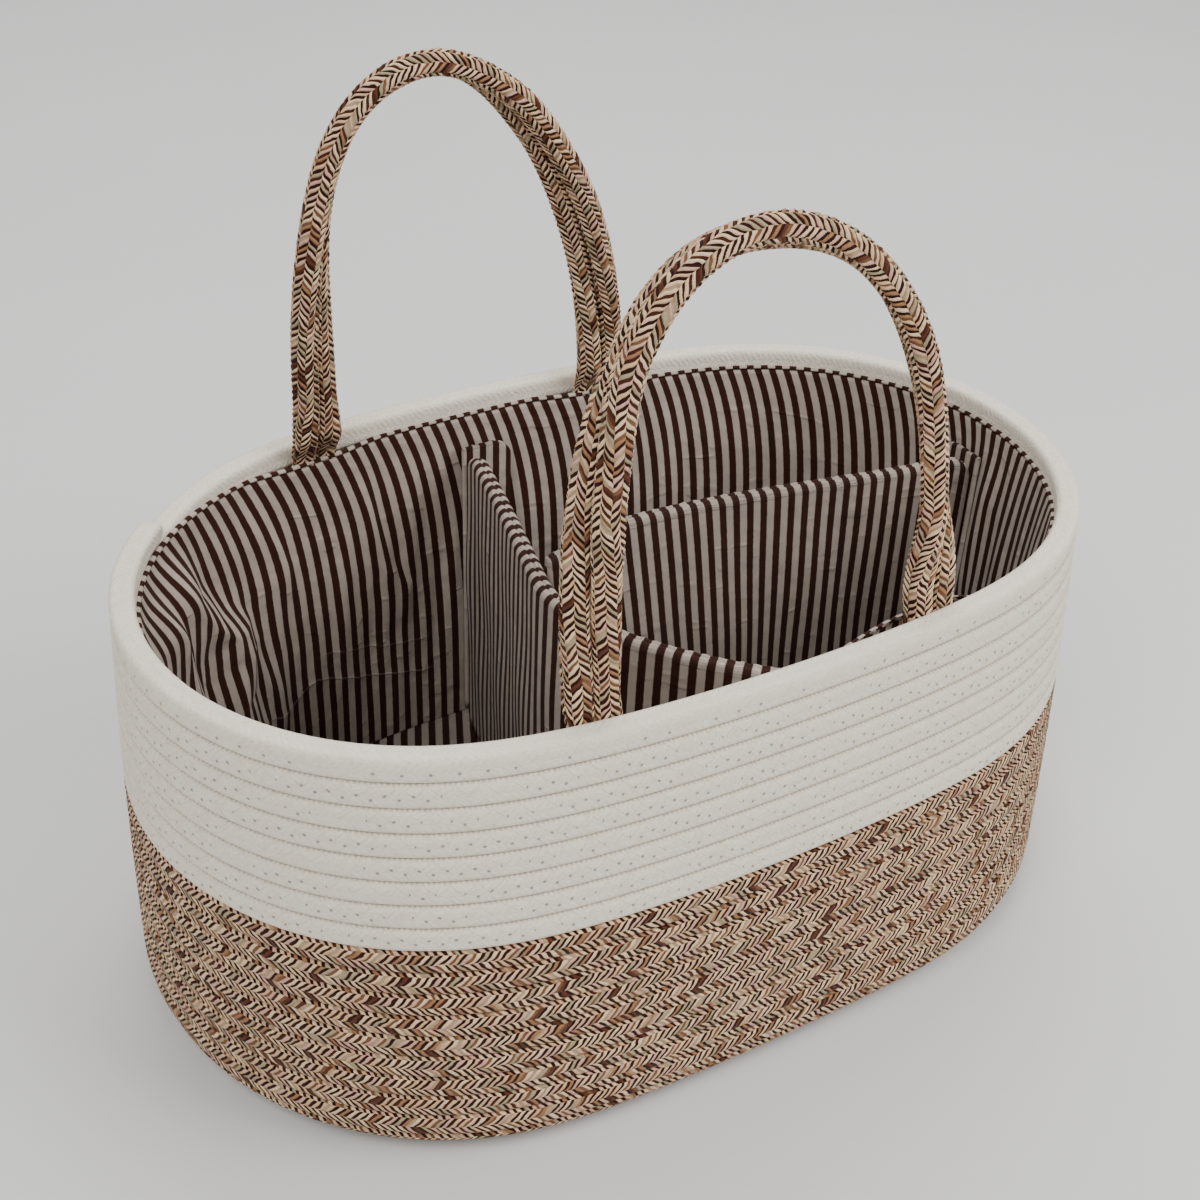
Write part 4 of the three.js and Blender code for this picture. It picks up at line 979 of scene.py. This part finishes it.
# Lift-out divider
# Boards of stiff foam in sleeves of the same ticking, joined by a sewn cloth seam,
# with a thin flap at each free end that carries a strip of hook tape.
BOARD_HALF = 0.0035
BOARD_FOOT = 0.0105
BOARD_TOP = 0.155
BOARD_CORNER = 0.013
FLAP_HALF = 0.0012
FLAP_FOOT = 0.0155
FLAP_TOP = BOARD_TOP - 0.001
FLAP_CORNER = 0.009
SEAM_PLACE = (-0.0305, -0.0262)
SEAM_Y = 0.0090
LONG_LEAN = 0.0135
BOARD_PITCH = 0.0062
BOARD_SEAM = 0.0046
FACE_SPAN = 0.14


def long_board_lean(x, level):
    """How far the long board leans back near the seam, where the cross board holds its top."""
    return LONG_LEAN * ease(-0.035, 0.012, x) * (1 - ease(0.020, 0.175, x)) * np.clip(level, 0, 1) ** 1.3


def corner_drop(distance, radius):
    """How far a rounded top corner falls at a distance from the board's end."""
    return radius - np.sqrt(np.clip(radius ** 2 - np.clip(radius - distance, 0, radius) ** 2, 0, None))


def padded_board(name, path, half, foot, top, corners=(0, 0), puff=0.0, lean=None, askew=0.0,
                 spacing=0.0015):
    """A cloth-covered board on a plan path: rounded edges, a sewn line along the top, ends closed.

    It has two top corners, and may lean and have its stripes askew."""
    path = np.array(path)
    length = run_length(*path.T)
    fine = np.linspace(0, length[-1], int(length[-1] / 0.001) + 2)
    line = softened(spaced(path, length, fine), 80 if len(path) > 3 else 0)
    length = run_length(*line.T)
    run = length[-1]
    ends = half * (1 - np.cos(np.linspace(0, np.pi / 2, 6)))
    between = np.linspace(half, run - half, int(run / spacing) + 2)
    even = np.unique(np.concatenate([ends, between, run - ends]))
    centre = spaced(line, length, even)
    ahead = np.gradient(centre, axis=0) / np.gradient(even)[:, None]
    ahead /= np.linalg.norm(ahead, axis=1)[:, None]
    side = np.stack([-ahead[:, 1], ahead[:, 0]], 1)
    drop = np.zeros_like(even)
    for distance, radius in ((even, corners[0]), (run - even, corners[1])):
        if radius:
            drop = np.maximum(drop, corner_drop(distance, radius))
    rim = top - drop * 0.96
    thin = rounded(np.minimum(even, run - even) / half)
    levels = np.linspace(0, 1, 30)
    face = [(-1.0, t) for t in levels]
    face += [(-math.cos(a), 1.0 + math.sin(a)) for a in np.linspace(0.2, math.pi / 2 - 0.3, 6)]
    face.append((-0.16, 1.93))
    section = face + [(0.0, 1.78)] + [(-a, b) for a, b in reversed(face)] + face[:1]
    rows, heights, lengths = [], [], []
    for across, level in section:
        on_face = min(level, 1)
        z = mix(foot, rim - half, on_face) + max(level - 1, 0) * half
        swell = puff * math.sin(math.pi * on_face) ** 0.6
        wave = 0.00045 * np.sin(even * 150 + level * 7) + 0.0003 * np.sin(even * 60 - level * 11 + across)
        wave *= math.sin(math.pi * on_face) * min(1, half / BOARD_HALF)
        offset = across * (half + swell) * thin + wave
        gather = 0.00025 * np.cos(even * 2 * np.pi / BOARD_SEAM) * (level > 1.5)
        x, y = centre[:, 0] + side[:, 0] * offset, centre[:, 1] + side[:, 1] * offset
        if lean:
            y = y + lean(x, (z - foot) / (top - foot))
        rows.append(np.stack([x, y, z + gather], 1))
        heights.append(level * FACE_SPAN)
        lengths.append(even - askew * (1 - on_face) * (1 - ease(0.03, 0.10, x)))
    heights[-1] = 3 * FACE_SPAN
    rows = np.stack(rows, 1)
    item = surface(name, rows, np.stack(lengths, 1), heights)
    shut = bmesh.new()
    shut.from_mesh(item.data)
    bmesh.ops.holes_fill(shut, edges=[e for e in shut.edges if e.is_boundary], sides=0)
    bmesh.ops.recalc_face_normals(shut, faces=shut.faces)
    shut.to_mesh(item.data)
    shut.free()
    item.data.shade_smooth()
    return item


# The cross board bows from the back wall to the seam, then turns in a round bend to the front wall
CROSS_PATH = [(-0.0140, 0.0993), (-0.0220, 0.0583), (-0.0330, SEAM_Y), (-0.0370, -0.0070),
              (-0.0356, -0.0239), (-0.0247, -0.0476), (-0.0087, -0.0691), (0.0076, -0.0857),
              (0.0220, -0.0967)]
LONG_PATH = [(-0.0274, SEAM_Y), (0.0735, 0.0066), (0.17394, 0.0010)]
# The boards, flaps and seam share this ticking: painted shade towards the foot and a painted highlight on
# the top edge
board_finish = ticking("board_ticking", period=BOARD_PITCH, highlit_top=True)
# Painted shade: the long board is darker all over and more so at its foot, as it stands deep in the shade
# of the front wall
long_finish = ticking("long_ticking", period=BOARD_PITCH, highlit_top=True, tone=(0.62, 0.86))
BOARDS = [("cross_panel", "cross_board", "divider", CROSS_PATH, {"corners": (BOARD_CORNER, 0)}),
          ("long_panel", "long_board", "long_leaf", LONG_PATH,
           {"corners": (0, BOARD_CORNER), "lean": long_board_lean, "askew": 0.0125})]
for name, node, body, path, shape in BOARDS:
    panel = padded_board(name, path, BOARD_HALF, BOARD_FOOT, BOARD_TOP, puff=0.0004, **shape)
    panel.data.materials.append(long_finish if name == "long_panel" else board_finish)
    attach(panel, body)
    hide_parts(node)

# Flaps of the divider
# A thin strip of foam in the same ticking at each free end, sewn to its board and
# turned along the wall.
FLAPS = [("back_tab", "back_flap", "divider", [(-0.0181, 0.1017), (0.0049, 0.1017)]),
         ("front_tab", "front_flap", "divider", [(0.0139, -0.1017), (0.0369, -0.1017)]),
         ("end_tab", "end_flap", "long_leaf", [(0.17542, -0.0031), (0.17542, 0.0147), (0.17381, 0.01965)])]
for name, node, body, path in FLAPS:
    flap = padded_board(name, path, FLAP_HALF, FLAP_FOOT, FLAP_TOP, corners=(0, FLAP_CORNER))
    flap.data.materials.append(board_finish)
    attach(flap, body)
    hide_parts(node)

# Cloth hinge of the divider
# A strip of the same ticking, sewn to both boards from top to foot, on which the long
# board folds.
SEAM_HALF = 0.0011
SEAM_FOOT = 0.0115
SEAM_TOP = 0.1515
seam_cloth = padded_board("seam_cloth", [(x, SEAM_Y) for x in SEAM_PLACE], SEAM_HALF, SEAM_FOOT,
                          SEAM_TOP, lean=long_board_lean, spacing=0.0006)
seam_cloth.data.materials.append(board_finish)
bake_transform(seam_cloth)
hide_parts("seam_strip")

# Hook tapes of the divider
# Woven strips set with fine plastic hooks, sewn upright on the outer face of each flap
# to grip the lining.
HOOK_PITCH = 0.0011
HOOK_RELIEF = 0.0005


def hook_tape_material():
    """Woven tape whose face is set with rows of fine plastic hooks."""
    material, tree, shader = new_material("hook_tape", 0.45)
    coord = place(tree, "ShaderNodeTexCoord")
    parts = place(tree, "ShaderNodeSeparateXYZ", Vector=coord.outputs["Object"])
    flat = total(tree, parts.outputs[0], parts.outputs[1])
    waves = [calc(tree, "SINE", product(tree, way, 2 * math.pi / HOOK_PITCH))
             for way in (parts.outputs[2], flat)]
    hooks = product(tree, *(calc(tree, "MAXIMUM", wave, 0.0) for wave in waves))
    worn = noise(tree, coord.outputs["Object"], 240.0, 2.0)
    tone = total(tree, product(tree, worn, 0.35), product(tree, hooks, 0.5))
    colour = ramp(tree, tone, [(0.0, (0.13, 0.15, 0.18)), (1.0, (0.52, 0.58, 0.66))])
    tree.links.new(colour, shader.inputs["Base Color"])
    relief(tree, shader, hooks, HOOK_RELIEF)
    return material


tape_finish = hook_tape_material()
for node in ("back_tape", "front_tape", "end_tape"):
    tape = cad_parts[node]
    tape.data.materials.clear()
    tape.data.materials.append(tape_finish)

# Floor and light
# A plain pale sheet under the caddy and soft studio light from above.
FLOOR_SPREAD = 6.0
FLOOR_DROP = 0.0004
FLOOR_TONE = (0.72, 0.72, 0.71)
FLOOR_SHADE = 0.97
cover = bmesh.new()
bmesh.ops.create_grid(cover, x_segments=8, y_segments=8, size=FLOOR_SPREAD / 2)
bmesh.ops.translate(cover, vec=(0, 0, -FLOOR_DROP), verts=cover.verts)
floor_mesh = bpy.data.meshes.new("studio_floor")
cover.to_mesh(floor_mesh)
cover.free()
studio_floor = placed("studio_floor", floor_mesh)
floor_finish, floor_tree, floor_shader = new_material("floor_paper", 0.85)
floor_cloud = noise(floor_tree, place(floor_tree, "ShaderNodeTexCoord").outputs["Object"], 3.0, 3.0)
floor_shades = [(0.3, tuple(part * FLOOR_SHADE for part in FLOOR_TONE)), (0.7, FLOOR_TONE)]
floor_tree.links.new(ramp(floor_tree, floor_cloud, floor_shades), floor_shader.inputs["Base Color"])
studio_floor.data.materials.append(floor_finish)

ROOM_TONE = (0.86, 0.86, 0.86, 1)
ROOM_STRENGTH = 0.44
room = bpy.data.worlds.new("studio")
bpy.context.scene.world = room
room.use_nodes = True
room_light = room.node_tree.nodes["Background"]
room_light.inputs[0].default_value = ROOM_TONE
room_light.inputs[1].default_value = ROOM_STRENGTH

# Each lamp's place, width in metres and power in watts
LAMPS = [("key_light", (-1.3, -1.0, 2.3), 1.6, 44), ("fill_light", (1.6, -1.5, 1.8), 1.8, 52),
         ("top_light", (0.6, 1.1, 2.2), 1.8, 34)]
LIT_POINT = Vector((0, 0, 0.1))
for name, spot, width, power in LAMPS:
    lamp_data = bpy.data.lights.new(name, "AREA")
    lamp_data.shape = "DISK"
    lamp_data.size = width
    lamp_data.energy = power
    lamp = placed(name, lamp_data)
    lamp.location = spot
    lamp.rotation_euler = (LIT_POINT - Vector(spot)).to_track_quat("-Z", "Y").to_euler()
